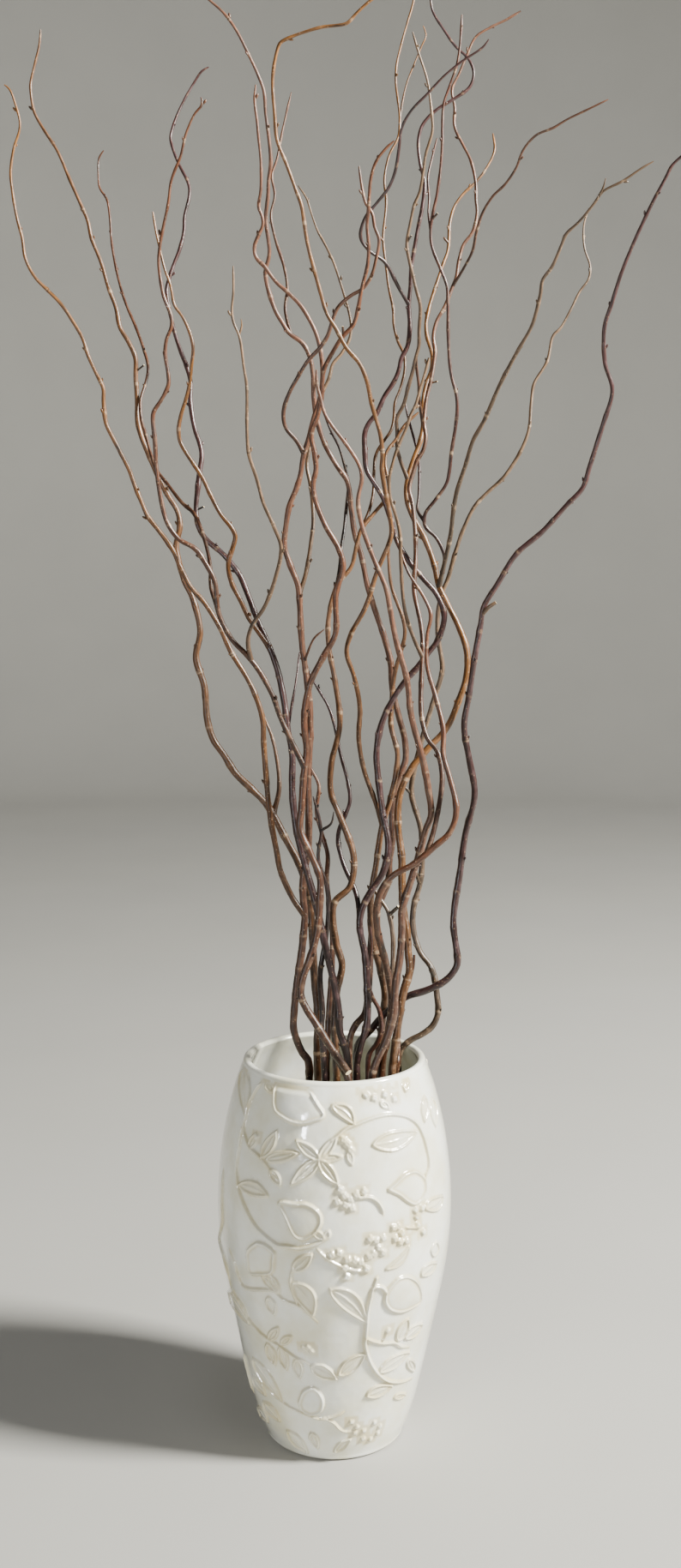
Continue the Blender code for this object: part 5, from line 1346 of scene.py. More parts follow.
LEAVES = tuple(Leaf(*(float(part) for part in leaf.split())) for leaf in """
    -8.3 34.9 -8.2 30.2 1, -7.8 27.1 -7.2 28.5 0.6, -6.7 26.2 -5.3 28.7 0.9, -6.3 26 -3.4 26.6 0.9,
    -5.9 25 -5 23.5 0.7, -1.4 26 -3.5 27.8 0.9, -1.4 26 0.2 28.2 0.8, -1.4 26 -4 23.6 1.1, -1.4 26 0.3 23.6 1,
    -1.4 26 0.7 26.3 0.7, -0.2 31.2 1.8 29.4 1.1 0.12, 3.5 27.4 7.6 28.7 1.7 -0.06, 6.6 34 6.5 32.5 0.6,
    4.2 31.5 5 30.9 0.5, 8.3 32 8.3 29.6 0.6, 9 31.8 9.3 29.2 0.6, 1.3 26.8 1.6 25.5 0.5,
    -8.8 23.6 -6.2 22.5 1.2 0.05, -1.9 19 -1 18.3 0.6, -0.9 18.3 -0.5 19.1 0.5, -6.7 14.7 -5.15 13.1 0.8,
    -6.1 14.8 -5.15 13.1 0.6, -6.2 12.6 -5.6 10.9 0.8, -3.9 14 -2 10.8 1.6 0.1, -3.9 15.2 -2.1 16.8 1.1,
    -9.9 13.2 -8 10 0.9, -2.2 5.8 0.2 4.5 1.2, -6.3 8 -5.6 5.95 0.8, -5.1 7.7 -4.5 5.45 0.8,
    -3.6 6.5 -3.25 4.6 0.8, -6.1 8.4 -5.3 9.6 0.7, -5 8 -4.05 8.75 0.6, -7.65 6.55 -5 2.3 1,
    -7.65 4.6 -6.5 2.9 0.6, -6.7 2.2 -5.15 0.3 0.8, -7.25 1.75 -6.3 0.2 0.6, -4.45 -0.7 -2.55 -2.9 0.9,
    -2.2 -0.9 -1.6 -2.4 0.7, 0 -2.8 1.5 -1.5 0.7, 8.4 21.2 10 22.5 1.2 -0.1, 4.8 15.35 6.95 17.6 0.6 -0.12 0,
    8.1 14.7 9.45 16 0.9, 9.2 16.6 9.5 18 0.7, -0.4 13.4 2.9 10.2 1.7 0.08, 5.9 8.3 6.9 10.5 0.9,
    6.6 8.5 8.2 10 0.9, 4.2 5.2 7 7.2 1, 0.4 4.9 2.85 7 1.2, 3 2.8 5.4 3.85 1, 6.95 6.45 7.4 5.25 0.7,
    5.6 2.6 6.7 2.95 0.5, -6.3 33.3 -5.6 32.4 0.6""".split(","))
FRUITS = (
    Fruit("""
    -110,646 -110,624 -106,612 -92,600 -77,592 -61,589 -40,594 -24,600 -20,606 -30,624 -38,638 -45,650 -56,660
    -66,673 -82,676 -98,674 -108,662"""),
    Fruit("""
    -94,438 -72,434 -54,434 -38,426 -27,413 -26,397 -34,382 -43,374 -59,366 -70,370 -78,380 -86,399 -94,418
    -100,430 -102,436"""),
    Fruit("-144,358 -160,344 -161,322 -156,300 -138,298 -117,302 -114,322 -113,340 -122,349 -133,356"),
    Fruit("100,462 117,478 133,492 149,496 165,482 168,463 162,446 149,434 136,439 120,452"),
    Fruit("109,279 120,289 136,292 152,282 160,262 159,243 144,232 123,224 104,229 95,243 97,262", 1.8),
    Fruit("-66,44 -61,30 -43,20 -27,26 -22,43 -27,60 -41,72 -57,66", 1.8),
)
BEADS = (
    Beads("52,660 76,666 106,668 72,638 92,644 110,636 58,644 24,550 30,538 16,558"),
    Beads("""
    10,462 18,450 6,438 20,432 32,426 40,452 54,458 28,444 150,422 152,410 162,426 165,380
    154,392""", 3.5, 2.4),
    Beads("""
    109,388 118,390 113,366 125,377 122,360 133,362 66,366 77,363 90,368 82,349 90,340 64,332
    72,338""", 3.5, 2.4),
    Beads("-5,335 8,339 24,326 37,324 48,321 19,310 59,307 23,293", 3.7, 2.5),
    Beads("-58,152 -50,154 -44,146 100,186 -144,564", 2.8, 1.8),
    Beads("32,3 42,-7 55,-14 75,2 85,-5 81,-19 54,-30 67,-31 38,-18", 2.6, 1.7),
)


@dataclass
class Relief:
    """The raised ornament as a height over the vase's outside, one row a ring and one column a meridian."""
    radii: Array
    heights: Array
    columns: int
    trace_gap: float = 0.12
    sight_span: tuple[float, float] = (0.86, 1.02)
    sight_steps: int = 400
    reach_of_ornament: tuple[float, float] = (0.0045, 0.3545)
    margin: float = 0.004
    bead_margin: float = 0.006
    edge_mm: float = 1.05
    rib_mm: float = 0.85
    edge_height: float = 1.9
    fruit_edge_mm: float = 1.4
    fruit_edge_height: float = 2.2
    boldness: float = 1.3
    foot_fade: tuple[float, float] = (0.004, 0.008)
    lip_fade: tuple[float, float] = (0.0030, 0.0070)
    vine_tapers: Point = (0.18, 0.25)
    vine_pool: Point = (0.0009, 0.85)
    leaf_points: int = 13
    leaf_power: float = 0.85
    leaf_fineness: Point = (0.55, 0.45)
    leaf_film: float = 0.26
    leaf_pool: tuple[float, ...] = (0.0014, 0.0009, 0.55)
    edge_pool: Point = (0.0007, 0.9)
    rib_pool: tuple[float, ...] = (0.0011, 0.0006, 0.6)
    rib_taper: float = 0.6
    blade_slope: float = 0.0022
    blade_mm: float = 0.45
    plain_blade: float = 1.8
    fruit_slopes: Point = (0.0012, 0.012)
    fruit_pool_at: Point = (0.0019, 0.0015)
    fruit_pool: Point = (0.0010, 0.8)
    bead_lobes: tuple[float, ...] = (0.80, 0.28, 3.1)
    bead_power: float = 0.55
    bead_dimple: Point = (0.26, 0.42)
    bead_pool: tuple[float, ...] = (0.9, 0.22, 0.8)
    rise: Array = field(init=False)
    pool: Array = field(init=False)

    def __post_init__(self) -> None:
        """Start from a bare wall."""
        self.along = run_length(np.stack([self.radii, self.heights], axis=1))
        self.angles = np.arange(self.columns) * math.tau / self.columns
        self.rise = np.zeros((len(self.radii), self.columns))
        self.pool = np.zeros_like(self.rise)

    def cast(self, point: Point, turn: float) -> Array:
        """Follow the line of sight through a drawn point to the wall.

        Args:
            point: The drawn point.
            turn: How far round the vase the whole drawing is turned.
        Returns:
            The angle round the axis and the length along the profile, where the wall is met.
        """
        target = np.array([point[0] * CM, 0.0, point[1] * CM])
        steps = np.linspace(*self.sight_span, self.sight_steps)[:, None]
        path = EYE + (target - EYE) * steps
        wall = np.interp(path[:, 2], self.heights, self.radii)
        reach = np.hypot(path[:, 0], path[:, 1])
        inside = reach <= wall
        row = int(np.argmax(inside)) if inside.any() else int(np.argmin(reach - wall))
        height = float(np.clip(path[row, 2], *self.reach_of_ornament))
        along = np.interp(height, self.heights, self.along)
        return np.array([math.atan2(path[row, 1], path[row, 0]) + turn, along])

    def trace(self, points: tuple[Point, ...], turn: float) -> Array:
        """Lay a smooth drawn line on the wall as (angle, along) samples."""
        return np.array([self.cast(point, turn) for point in Bunch.smooth(np.array(points), self.trace_gap)])

    def window(self, low: Array, high: Array, margin: float) -> tuple[Array, ...]:
        """The rows and columns of the wall around a patch.

        Args:
            low: The patch's lowest angle and profile length.
            high: Its highest ones.
            margin: How far past it the window reaches, in metres.
        Returns:
            The rows, the columns, and the angle and profile length at each place.
        """
        first = int(np.searchsorted(self.along, low[1] - margin))
        last = int(np.searchsorted(self.along, high[1] + margin))
        rows = np.arange(max(first, 0), min(last, len(self.along)))
        radius = max(float(np.interp((low[1] + high[1]) / 2, self.along, self.radii)), 0.05)
        step = math.tau / self.columns
        columns = np.arange(math.floor((low[0] - margin / radius) / step),
                            math.ceil((high[0] + margin / radius) / step) + 1)
        return rows, columns, *np.meshgrid(columns * math.tau / self.columns, self.along[rows])

    def raise_to(self, rows: Array, columns: Array, height: Array, pool: Array) -> None:
        """Lift a window of the wall to a shape, never lowering what is there.

        Args:
            rows: The window's rows.
            columns: Its columns.
            height: The shape's height.
            pool: How much glaze pools there.
        """
        spot = np.ix_(rows, columns % self.columns)
        self.rise[spot] = np.maximum(self.rise[spot], height)
        self.pool[spot] = np.maximum(self.pool[spot], pool)

    @staticmethod
    def ridge(distance: Array, half_width: Array) -> Array:
        """A round-topped ridge with soft feet: one in its middle and nothing past its half width."""
        share = np.clip(distance / half_width, 0.0, 1.0)
        return np.sqrt(np.clip(1.0 - share ** 2, 0.0, 1.0)) * (1.0 - share ** 4)

    def distances(self, line: Array, angle: Array, along: Array, closed: bool = False) -> tuple[Array, Array]:
        """How far each place of a window is from a line on the wall.

        Args:
            line: The line as (angle, along) samples.
            angle: The angle at each place.
            along: The profile length at each place.
            closed: Whether the line's end joins its start.
        Returns:
            The distance in metres and the share of the line's length at the nearest point.
        """
        best = np.full(angle.shape, 1.0)
        share = np.zeros(angle.shape)
        ends = np.concatenate([line, line[:1]]) if closed else line
        for index in range(len(ends) - 1):
            (a0, s0), (a1, s1) = ends[index], ends[index + 1]
            radius = float(np.interp((s0 + s1) / 2, self.along, self.radii))
            dx, dy = (a1 - a0) * radius, s1 - s0
            px, py = (angle - a0) * radius, along - s0
            t = np.clip((px * dx + py * dy) / max(dx * dx + dy * dy, 1e-12), 0.0, 1.0)
            away = np.hypot(px - t * dx, py - t * dy)
            nearer = away < best
            best[nearer] = away[nearer]
            share[nearer] = ((index + t) / (len(ends) - 1))[nearer]
        return best, share

    @staticmethod
    def swell(distance: Array, middle: Union[Array, float], width: float, amount: float) -> Array:
        """A soft band of some amount round a distance, such as the glaze that pools along an edge."""
        return amount * np.exp(-((distance - middle) / width) ** 2)

    def add_vine(self, vine: Vine, turn: float) -> None:
        """Raise a tendril, thinner at its ends.

        Args:
            vine: The tendril.
            turn: How far round the vase it is turned.
        """
        line = self.trace(drawn(vine.course), turn)
        rows, columns, angle, along = self.window(line.min(axis=0), line.max(axis=0), self.margin)
        distance, share = self.distances(line, angle, along)
        (first, last), (onset, ending) = vine.thin_ends, self.vine_tapers
        slim = np.minimum(1.0, np.minimum(first + share / onset, last + (1.0 - share) / ending))
        half = vine.width / 2 * MM * slim
        body = vine.height * MM * slim * self.ridge(distance, half)
        self.raise_to(rows, columns, body, self.swell(distance, half, *self.vine_pool))

    def add_leaf(self, leaf: Leaf, turn: float) -> None:
        """Raise a leaf: a sharp edge all round, a rib, and a slightly plump blade between them.

        Args:
            leaf: The leaf.
            turn: How far round the vase it is turned.
        """
        base, tip = np.array([leaf.base_x, leaf.base_z]), np.array([leaf.tip_x, leaf.tip_z])
        ahead = tip - base
        side = np.array([-ahead[1], ahead[0]])
        share = np.linspace(0.0, 1.0, self.leaf_points)
        middle = base + ahead * share[:, None] + side * leaf.bend * (4 * share * (1 - share))[:, None]
        half = leaf.width / 2 * np.sin(math.pi * share ** self.leaf_power) ** self.leaf_power
        across = side / np.linalg.norm(side)
        rim = np.concatenate([middle + across * half[:, None], (middle - across * half[:, None])[-2:0:-1]])
        edge = np.array([self.cast(point, turn) for point in rim])
        rib = np.array([self.cast(point, turn) for point in middle])
        rows, columns, angle, along = self.window(edge.min(axis=0), edge.max(axis=0), self.margin)
        distance, _ = self.distances(edge, angle, along, True)
        inside = self.enclosed(edge, angle, along)
        to_rib, on_rib = self.distances(rib, angle, along)
        fine = min(1.0, self.leaf_fineness[0] + leaf.width * self.leaf_fineness[1])
        shape = self.edge_height * fine * MM * self.ridge(distance, np.full_like(distance, self.edge_mm * MM))
        blade = np.where(inside, np.minimum(distance / self.blade_slope, 1.0) * self.blade_mm * MM, 0.0)
        if leaf.rib:
            rib_half = self.rib_mm * MM * (1.0 - self.rib_taper * on_rib)
            ridge = fine * MM * self.ridge(to_rib, rib_half)
            shape = np.maximum(shape, np.where(inside, blade + ridge, 0.0))
        else:
            shape = np.maximum(shape, blade * self.plain_blade)
        pooled = np.where(inside, self.leaf_film + self.swell(distance, *self.leaf_pool),
                          self.swell(distance, self.edge_mm * MM, *self.edge_pool))
        pooled = np.maximum(pooled, np.where(inside, self.swell(to_rib, *self.rib_pool), 0.0))
        self.raise_to(rows, columns, shape, pooled)

    @staticmethod
    def enclosed(rim: Array, angle: Array, along: Array) -> Array:
        """Which places of a window lie inside a closed line.

        Args:
            rim: The line as (angle, along) samples.
            angle: The angle at each place.
            along: The profile length at each place.
        Returns:
            True for the places inside.
        """
        inside = np.zeros(angle.shape, dtype=bool)
        for index in range(len(rim)):
            (a0, s0), (a1, s1) = rim[index], rim[(index + 1) % len(rim)]
            crosses = (s0 > along) != (s1 > along)
            at = a0 + (along - s0) * (a1 - a0) / (s1 - s0 if abs(s1 - s0) > 1e-9 else 1e-9)
            inside ^= crosses & (angle < at)
        return inside

    def add_fruit(self, fruit: Fruit, turn: float) -> None:
        """Raise a plump fruit inside its edge.

        Args:
            fruit: The fruit.
            turn: How far round the vase it is turned.
        """
        outline = drawn(fruit.outline)
        rim = self.trace(outline + outline[:1], turn)[:-1]
        rows, columns, angle, along = self.window(rim.min(axis=0), rim.max(axis=0), self.margin)
        distance, _ = self.distances(rim, angle, along, True)
        inside = self.enclosed(rim, angle, along)
        half = np.full_like(distance, self.fruit_edge_mm * MM)
        edge = self.fruit_edge_height * MM * self.ridge(distance, half)
        step, rise = (np.clip(distance / slope, 0.0, 1.0) for slope in self.fruit_slopes)
        dome = np.where(inside, MM * (step + (fruit.dome - 1.0) * rise * (2.0 - rise)), 0.0)
        pooled = self.swell(distance, np.where(inside, *self.fruit_pool_at), *self.fruit_pool)
        self.raise_to(rows, columns, np.maximum(edge, dome), pooled)

    def add_beads(self, beads: Beads, turn: float) -> None:
        """Raise a cluster of round beads.

        Args:
            beads: The cluster.
            turn: How far round the vase it is turned.
        """
        least, lobe, twist = self.bead_lobes
        for place in drawn(beads.places):
            spot = self.cast(place, turn)
            rows, columns, angle, along = self.window(spot, spot, self.bead_margin)
            radius = float(np.interp(spot[1], self.along, self.radii))
            distance = np.hypot((angle - spot[0]) * radius, along - spot[1])
            round_it = np.arctan2(along - spot[1], (angle - spot[0]) * radius)
            lobes = least + lobe * np.abs(np.cos(2.0 * round_it + place[0] * twist + place[1]))
            share = np.clip(distance / (beads.radius * MM * lobes), 0.0, 1.0)
            dimple = 1.0 - self.swell(share, 0.0, *self.bead_dimple)
            bead = beads.height * MM * (1.0 - share ** 2) ** self.bead_power * dimple
            self.raise_to(rows, columns, bead, self.swell(share, *self.bead_pool))

    def decorate(self, turns: tuple[float, ...]) -> None:
        """Raise the whole drawing once for each turn round the vase.

        Args:
            turns: The turns, in radians.
        """
        for turn in turns:
            for shapes, add in ((VINES, self.add_vine), (LEAVES, self.add_leaf), (FRUITS, self.add_fruit),
                                (BEADS, self.add_beads)):
                for shape in shapes:
                    add(shape, turn)
        self.soften()

    def soften(self) -> None:
        """Round every edge a little, as a poured glaze does, and keep the ornament off the foot and lip."""
        for layer in (self.rise, self.pool):
            ease_along(layer)
            layer[:] = 0.25 * np.roll(layer, 1, axis=1) + 0.5 * layer + 0.25 * np.roll(layer, -1, axis=1)
        fade = (np.interp(self.along, self.foot_fade, (0.0, 1.0))
                * np.interp(self.along[-1] - self.along, self.lip_fade, (0.0, 1.0)))
        self.rise *= self.boldness * fade[:, None]
        self.pool = np.clip(self.pool, 0.0, 1.0)


@dataclass
class FineShell:
    """The whole vase at full fineness, one row a ring and one column a meridian."""
    points: Array
    normals: Array
    pool: Array
    rise: Array

    @staticmethod
    def read(values: Array, row: Array, turn: Array) -> Array:
        """Read a value between the shell's rings and meridians.

        Args:
            values: The value at each ring and meridian.
            row: The ring wanted at each place, with its fraction.
            turn: The share of a full turn at each place.
        Returns:
            The blended values.
        """
        columns = values.shape[1]
        low = np.clip(np.floor(row).astype(int), 0, len(values) - 2)
        column = turn * columns
        left = np.floor(column).astype(int) % columns
        right = (left + 1) % columns
        down, over = (row - low)[:, None], (column - np.floor(column))[:, None]
        first = values[low, left] * (1 - over) + values[low, right] * over
        second = values[low + 1, left] * (1 - over) + values[low + 1, right] * over
        return first * (1 - down) + second * down


# The vase

@dataclass
class Vase:
    """The round-bellied vase: a turned shell, open at the top, with its ornament raised on the outside."""
    outline: tuple[Point, ...] = (
        (0.0715, 0.0200), (0.0775, 0.0400), (0.0845, 0.0700), (0.0908, 0.1000), (0.0972, 0.1300),
        (0.1030, 0.1600), (0.1070, 0.1900), (0.1084, 0.2200), (0.1074, 0.2500), (0.1040, 0.2800),
        (0.0996, 0.3040), (0.0934, 0.3290), (0.0885, 0.3440), (0.0862, 0.3505))
    under_lip: Point = (0.0845, 0.3552)
    height: float = 0.360
    foot_radius: float = 0.0600
    foot_corner: float = 0.0060
    lip_outer: float = 0.0840
    lip_radius: float = 0.0038
    floor_height: float = 0.0090
    floor_radius: float = 0.0500
    inner_corner: Point = (0.0580, 0.0125)
    inner_rise: float = 0.0020
    wall: float = 0.0070
    columns: int = 960
    quick_columns: int = 390
    ring_gap: float = 0.00078
    face_limit: int = 196000
    back_turn: float = math.pi
    belly: float = 0.172
    bare_height: float = 0.0008
    busy_ease: float = 0.9
    busy_factor: float = 0.000003
    busy_pool: float = 0.03
    busy_rise: float = 0.00003
    quick_coarseness: float = 2.0
    level_inset: float = 0.0015
    level_heights: Point = (0.004, 0.0105)
    inner_gap: float = 0.006
    lip_steps: int = 15

    def outer_line(self) -> Array:
        """The outside from the foot's corner up to where the lip begins, in even steps.

        Returns:
            The outside as (radius, height) samples.
        """
        corner = [(self.foot_radius + self.foot_corner * math.sin(math.radians(turn)),
                   self.foot_corner * (1.0 - math.cos(math.radians(turn)))) for turn in (0, 30, 60, 90)]
        gap = self.ring_gap * 1.0
        return Bunch.smooth(np.array(corner + list(self.outline) + [self.under_lip]), gap)

    def lip_line(self) -> Array:
        """The rounded lip, from its outside to inside the neck.

        Returns:
            The lip as (radius, height) samples.
        """
        middle = np.array([self.lip_outer - self.lip_radius, self.height - self.lip_radius])
        turns = np.radians(np.linspace(0.0, 180.0, self.lip_steps))
        return middle + self.lip_radius * np.stack([np.cos(turns), np.sin(turns)], axis=1)

    def inner_line(self) -> Array:
        """The inside from the neck down to the floor."""
        wall = [(radius - self.wall, height + self.inner_rise) for radius, height in self.outline[-2::-1]]
        return Bunch.smooth(np.array(wall + [self.inner_corner, (self.floor_radius, self.floor_height)]),
                            self.inner_gap)

    def build(self, glaze: Material, biscuit: Material) -> None:
        """Turn the shell with its ornament, in two bands that meet at the belly, and hand them over.

        Args:
            glaze: The glaze's material.
            biscuit: The bare foot's material.
        """
        columns = self.columns
        outer, lip, inner = self.outer_line(), self.lip_line(), self.inner_line()
        relief = Relief(outer[:, 0], outer[:, 1], columns)
        relief.decorate((0.0, self.back_turn))
        profile = np.concatenate([outer, lip, inner])
        rise, pool = np.zeros((len(profile), columns)), np.zeros((len(profile), columns))
        rise[:len(outer)], pool[:len(outer)] = relief.rise, relief.pool
        points = self.place(profile, rise, relief.angles)
        fine = FineShell(points, self.normals_of(points), pool, rise)
        outer_cut = int(np.argmin(np.abs(outer[:, 1] - self.belly)))
        inner_cut = len(outer) + len(lip) + int(np.argmin(np.abs(inner[:, 1] - self.belly)))
        rows = np.arange(len(profile))
        lower = np.concatenate([rows[:outer_cut + 1], rows[inner_cut:]])
        upper = rows[outer_cut:inner_cut + 1]
        for name, band, closed in (("vase_glazed_lower", lower, False), ("vase_glazed_upper", upper, True)):
            mesh = self.thin_band(name, fine, band, closed, (outer_cut, inner_cut))
            mesh.materials.append(glaze)
            mesh.materials.append(biscuit)
            self.finish(mesh, fine)
            hand_over(link_object(name, mesh), "vase")

    def thin_band(self, name: str, fine: FineShell, rows: Array, closed: bool,
                  seam: tuple[int, int]) -> Mesh:
        """Make one band of the shell and thin out its plain parts.

        Args:
            name: The band's name.
            fine: The whole shell at full fineness.
            rows: The rings of the band, in order round its section.
            closed: Whether the section closes on itself, or ends in the floor and the foot.
            seam: The rings at which the bands meet, which stay whole.
        Returns:
            The band's mesh.
        """
        columns = fine.points.shape[1]
        vertices = fine.points[rows].reshape(-1, 3).tolist()
        faces = self.faces_of(len(rows), columns, closed).tolist()
        marks = np.repeat(rows.astype(float), columns)
        if not closed:
            around = np.arange(columns)
            onward = (around + 1) % columns
            top, count = (len(rows) - 1) * columns, len(vertices)
            vertices += [[0.0, 0.0, 0.0], [0.0, 0.0, self.floor_height]]
            faces += np.stack([onward, around, np.full(columns, count)], axis=1).tolist()
            faces += np.stack([top + around, top + onward, np.full(columns, count + 1)], axis=1).tolist()
            marks = np.append(marks, [0.0, float(rows[-1])])
        mesh = bpy.data.meshes.new(name)
        mesh.from_pydata(vertices, [], faces)
        WillowStem.store(mesh, "row", "FLOAT", marks)
        draft = link_object(name + "_draft", mesh)
        busy = (fine.pool[rows] > self.busy_pool) | (fine.rise[rows] > self.busy_rise)
        ease = np.where(busy, self.busy_ease, 1.0)
        ease[np.isin(rows, seam)] = 0.0
        ease = np.append(ease.ravel(), np.ones(len(vertices) - ease.size))
        group = draft.vertex_groups.new(name="ease")
        for value in (self.busy_ease, 1.0):
            group.add(np.nonzero(ease == value)[0].tolist(), value, "REPLACE")
        thin = draft.modifiers.new("thin", "DECIMATE")
        thin.ratio = min(1.0, self.face_limit / (2.0 * len(faces)))
        thin.vertex_group = "ease"
        thin.vertex_group_factor = self.busy_factor
        return baked(draft, name)

    @staticmethod
    def place(profile: Array, rise: Array, angles: Array) -> Array:
        """Place every ring of the shell in space, with the ornament lifted along the wall's normal.

        Args:
            profile: The section as (radius, height) samples.
            rise: The ornament's height at each ring and meridian.
            angles: The angle of each meridian.
        Returns:
            The points, ring by ring.
        """
        ahead = np.gradient(profile, axis=0)
        ahead /= np.maximum(np.linalg.norm(ahead, axis=1, keepdims=True), 1e-9)
        radius = profile[:, 0][:, None] + rise * ahead[:, 1][:, None]
        height = profile[:, 1][:, None] - rise * ahead[:, 0][:, None]
        return np.stack([radius * np.cos(angles), radius * np.sin(angles), height + 0.0 * angles], axis=2)

    @staticmethod
    def normals_of(points: Array) -> Array:
        """Work out the outward normals of the shell.

        Args:
            points: Its points, ring by ring.
        Returns:
            The normal at each point.
        """
        along = np.gradient(points, axis=0)
        around = np.roll(points, -1, axis=1) - np.roll(points, 1, axis=1)
        normals = np.cross(around, along)
        return normals / np.maximum(np.linalg.norm(normals, axis=2, keepdims=True), 1e-12)

    @staticmethod
    def faces_of(rows: int, columns: int, closed: bool) -> Array:
        """The four corners of each face between neighbouring rings.

        Args:
            rows: How many rings there are.
            columns: How many points a ring has.
            closed: Whether the last ring joins the first.
        Returns:
            The corners as rows of point numbers.
        """
        row, column = np.meshgrid(np.arange(rows if closed else rows - 1), np.arange(columns), indexing="ij")
        onward, above = (column + 1) % columns, (row + 1) % rows
        return np.stack([row * columns + column, row * columns + onward, above * columns + onward,
                         above * columns + column], axis=2).reshape(-1, 4)

    def finish(self, mesh: Mesh, fine: FineShell) -> None:
        """Give a thinned band its smooth normals, its tint and its bare foot.

        Args:
            mesh: The thinned band.
            fine: The whole shell at full fineness.
        """
        count = len(mesh.vertices)
        place, row = np.empty(count * 3), np.empty(count)
        mesh.vertices.foreach_get("co", place)
        place = place.reshape(-1, 3)
        mesh.attributes["row"].data.foreach_get("value", row)
        turn = (np.arctan2(place[:, 1], place[:, 0]) % math.tau) / math.tau
        smooth = fine.read(fine.normals, row, turn)
        smooth /= np.maximum(np.linalg.norm(smooth, axis=1, keepdims=True), 1e-9)
        reach = np.hypot(place[:, 0], place[:, 1])
        level = (reach < self.foot_radius - self.level_inset) & (place[:, 2] < self.level_heights[1])
        under = place[level, 2:3] < self.level_heights[0]
        smooth[level] = np.where(under, [[0.0, 0.0, -1.0]], [[0.0, 0.0, 1.0]])
        WillowStem.store(mesh, "tint", "FLOAT", fine.read(fine.pool[:, :, None], row, turn)[:, 0])
        mesh.attributes.remove(mesh.attributes["row"])
        for face in mesh.polygons:
            face.use_smooth = True
            if face.center.z < self.bare_height:
                face.material_index = 1
        mesh.normals_split_custom_set_from_vertices(smooth.tolist())


# The studio

@dataclass(frozen=True)
class SoftBox:
    """A flat studio light: where it stands, what it looks at, its size, its power and its colour."""
    name: str
    place: tuple[float, float, float]
    target: tuple[float, float, float]
    size: tuple[float, float]
    power: float
    colour: str = "#FFFFFF"

    def build(self) -> None:
        """Hang the light."""
        light = bpy.data.lights.new(self.name, "AREA")
        light.shape = "RECTANGLE"
        light.size, light.size_y = self.size
        light.energy = self.power
        light.color = linear(self.colour)[:3]
        lamp = bpy.data.objects.new(self.name, light)
        lamp.location = self.place
        lamp.rotation_euler = (Vector(self.target) - Vector(self.place)).to_track_quat("-Z", "Y").to_euler()
        bpy.context.scene.collection.objects.link(lamp)


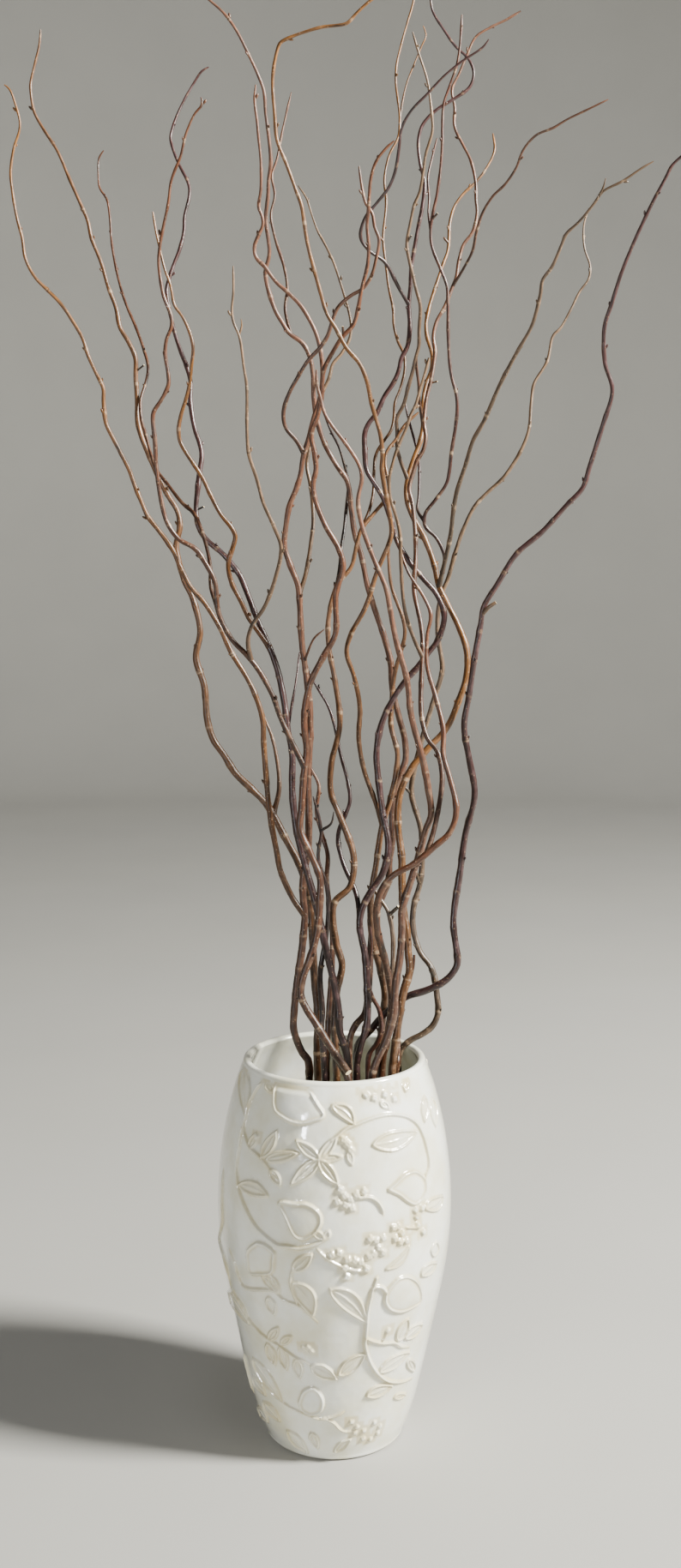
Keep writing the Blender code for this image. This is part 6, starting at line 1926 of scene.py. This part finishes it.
@dataclass
class Studio:
    """A round pale floor with a coved edge and wall, soft light and the camera at the drawing's eye."""
    floor_radius: float = 4.6
    cove_radius: float = 1.6
    cove_steps: int = 20
    cove_sides: int = 96
    wall_height: float = 5.4
    floor_hex: str = "#A09F9B"
    worn_hex: str = "#989793"
    grain_mm: float = 1000.0 / 3.0
    glow: float = 0.13
    sky_hex: str = "#E9EAEC"
    sky_strength: float = 0.06
    boxes: tuple[SoftBox, ...] = (
        SoftBox("window_key", (2.8, -0.9, 2.6), (0.0, 0.0, 0.45), (0.6, 0.8), 700.0, "#FFFDF4"),
        SoftBox("top_fill", (0.2, -0.8, 3.3), (0.0, 0.0, 0.4), (0.7, 0.6), 8.0, "#FFFFFF"),
        SoftBox("small_window", (-1.58, -2.58, 0.66), (0.0, -0.1, 0.31), (0.22, 0.34), 22.0, "#F6F9FF"),
        SoftBox("side_wall_wash", (3.3, -1.6, 3.8), (6.0, -2.4, 0.8), (3.0, 0.6), 150.0, "#FFFFFF"))

    def floor(self) -> Mesh:
        """Model the floor, its cove and its wall as one round dish that faces inwards.

        Returns:
            The mesh.
        """
        section = [(0.3 * self.floor_radius, 0.0), (self.floor_radius, 0.0)]
        for step in range(1, self.cove_steps + 1):
            turn = math.pi / 2 * step / self.cove_steps
            section.append((self.floor_radius + self.cove_radius * math.sin(turn),
                            self.cove_radius * (1.0 - math.cos(turn))))
        section.append((section[-1][0], self.wall_height))
        sides = self.cove_sides
        turns = [math.tau * side / sides for side in range(sides)]
        points = [(0.0, 0.0, 0.0)] + [(reach * math.cos(turn), reach * math.sin(turn), z)
                                      for reach, z in section for turn in turns]
        faces = [(0, 1 + side, 1 + (side + 1) % sides) for side in range(sides)]
        for row in range(len(section) - 1):
            near, far = 1 + row * sides, 1 + (row + 1) * sides
            faces += [(near + side, far + side, far + (side + 1) % sides, near + (side + 1) % sides)
                      for side in range(sides)]
        mesh = bpy.data.meshes.new("studio_floor")
        mesh.from_pydata(points, [], faces)
        mesh.polygons.foreach_set("use_smooth", [True] * len(faces))
        return mesh

    def build(self) -> None:
        """Lay the floor, light the scene and set the camera."""
        mesh = self.floor()
        floor = link_object(mesh.name, mesh)
        material, tree, shader = start_material("pale_matt_floor", Roughness=0.7, Emission_Strength=self.glow,
                                                Emission_Color=linear(self.floor_hex))
        grain = noise(tree, object_place(tree), self.grain_mm, 3.0)
        drive(tree, shader, Base_Color=blend(tree, grain, linear(self.floor_hex), linear(self.worn_hex)))
        mesh.materials.append(material)
        world = bpy.data.worlds.new("soft_studio")
        world.use_nodes = True
        sky = world.node_tree.nodes["Background"].inputs
        sky["Color"].default_value = linear(self.sky_hex)
        sky["Strength"].default_value = self.sky_strength
        bpy.context.scene.world = world
        for box in self.boxes:
            box.build()
        camera = bpy.data.cameras.new("view_from_the_front")
        camera.lens = CAMERA_LENS
        eye = bpy.data.objects.new("view_from_the_front", camera)
        eye.location = EYE
        eye.rotation_euler = (math.pi / 2 - CAMERA_PITCH, 0.0, 0.0)
        bpy.context.scene.collection.objects.link(eye)
        bpy.context.scene.camera = eye


STEM_BARKS = {"bark_tan": (1, 2, 3, 5, 10, 11, 15), "bark_rose": (6, 8, 13, 14, 16, 18),
              "bark_dark": (4, 7, 9, 12, 17)}
BARKS = (
    BarkFinish("tan_willow_bark", "bark_tan"),
    BarkFinish("rose_willow_bark", "bark_rose", film_hex="#A1856B", roughness=0.40),
    BarkFinish("dark_willow_bark", "bark_dark", film_hex="#75585C", pore_hex="#A08668", roughness=0.32),
)


def build_stems() -> None:
    """Lay out the bunch and grow each stem in its bark."""
    bunch = Bunch(STRANDS)
    bunch.lay_out()
    tree = WillowStem.wood_tree()
    wood = CutWoodFinish().build()
    for bark in BARKS:
        material = bark.build()
        for number in STEM_BARKS[bark.slot]:
            trunk = bunch.by_name[f"{number:02d}"]
            family = [strand for strand in STRANDS if strand.parent and bunch.trunk_of(strand) is trunk]
            WillowStem(number, trunk, family, bunch, bark).build(tree, material, wood)


def main() -> None:
    """Build the studio, the vase and the stems."""
    Studio().build()
    Vase().build(GlazeFinish().build(), BiscuitFinish().build())
    build_stems()


if __name__ == "__main__":
    main()
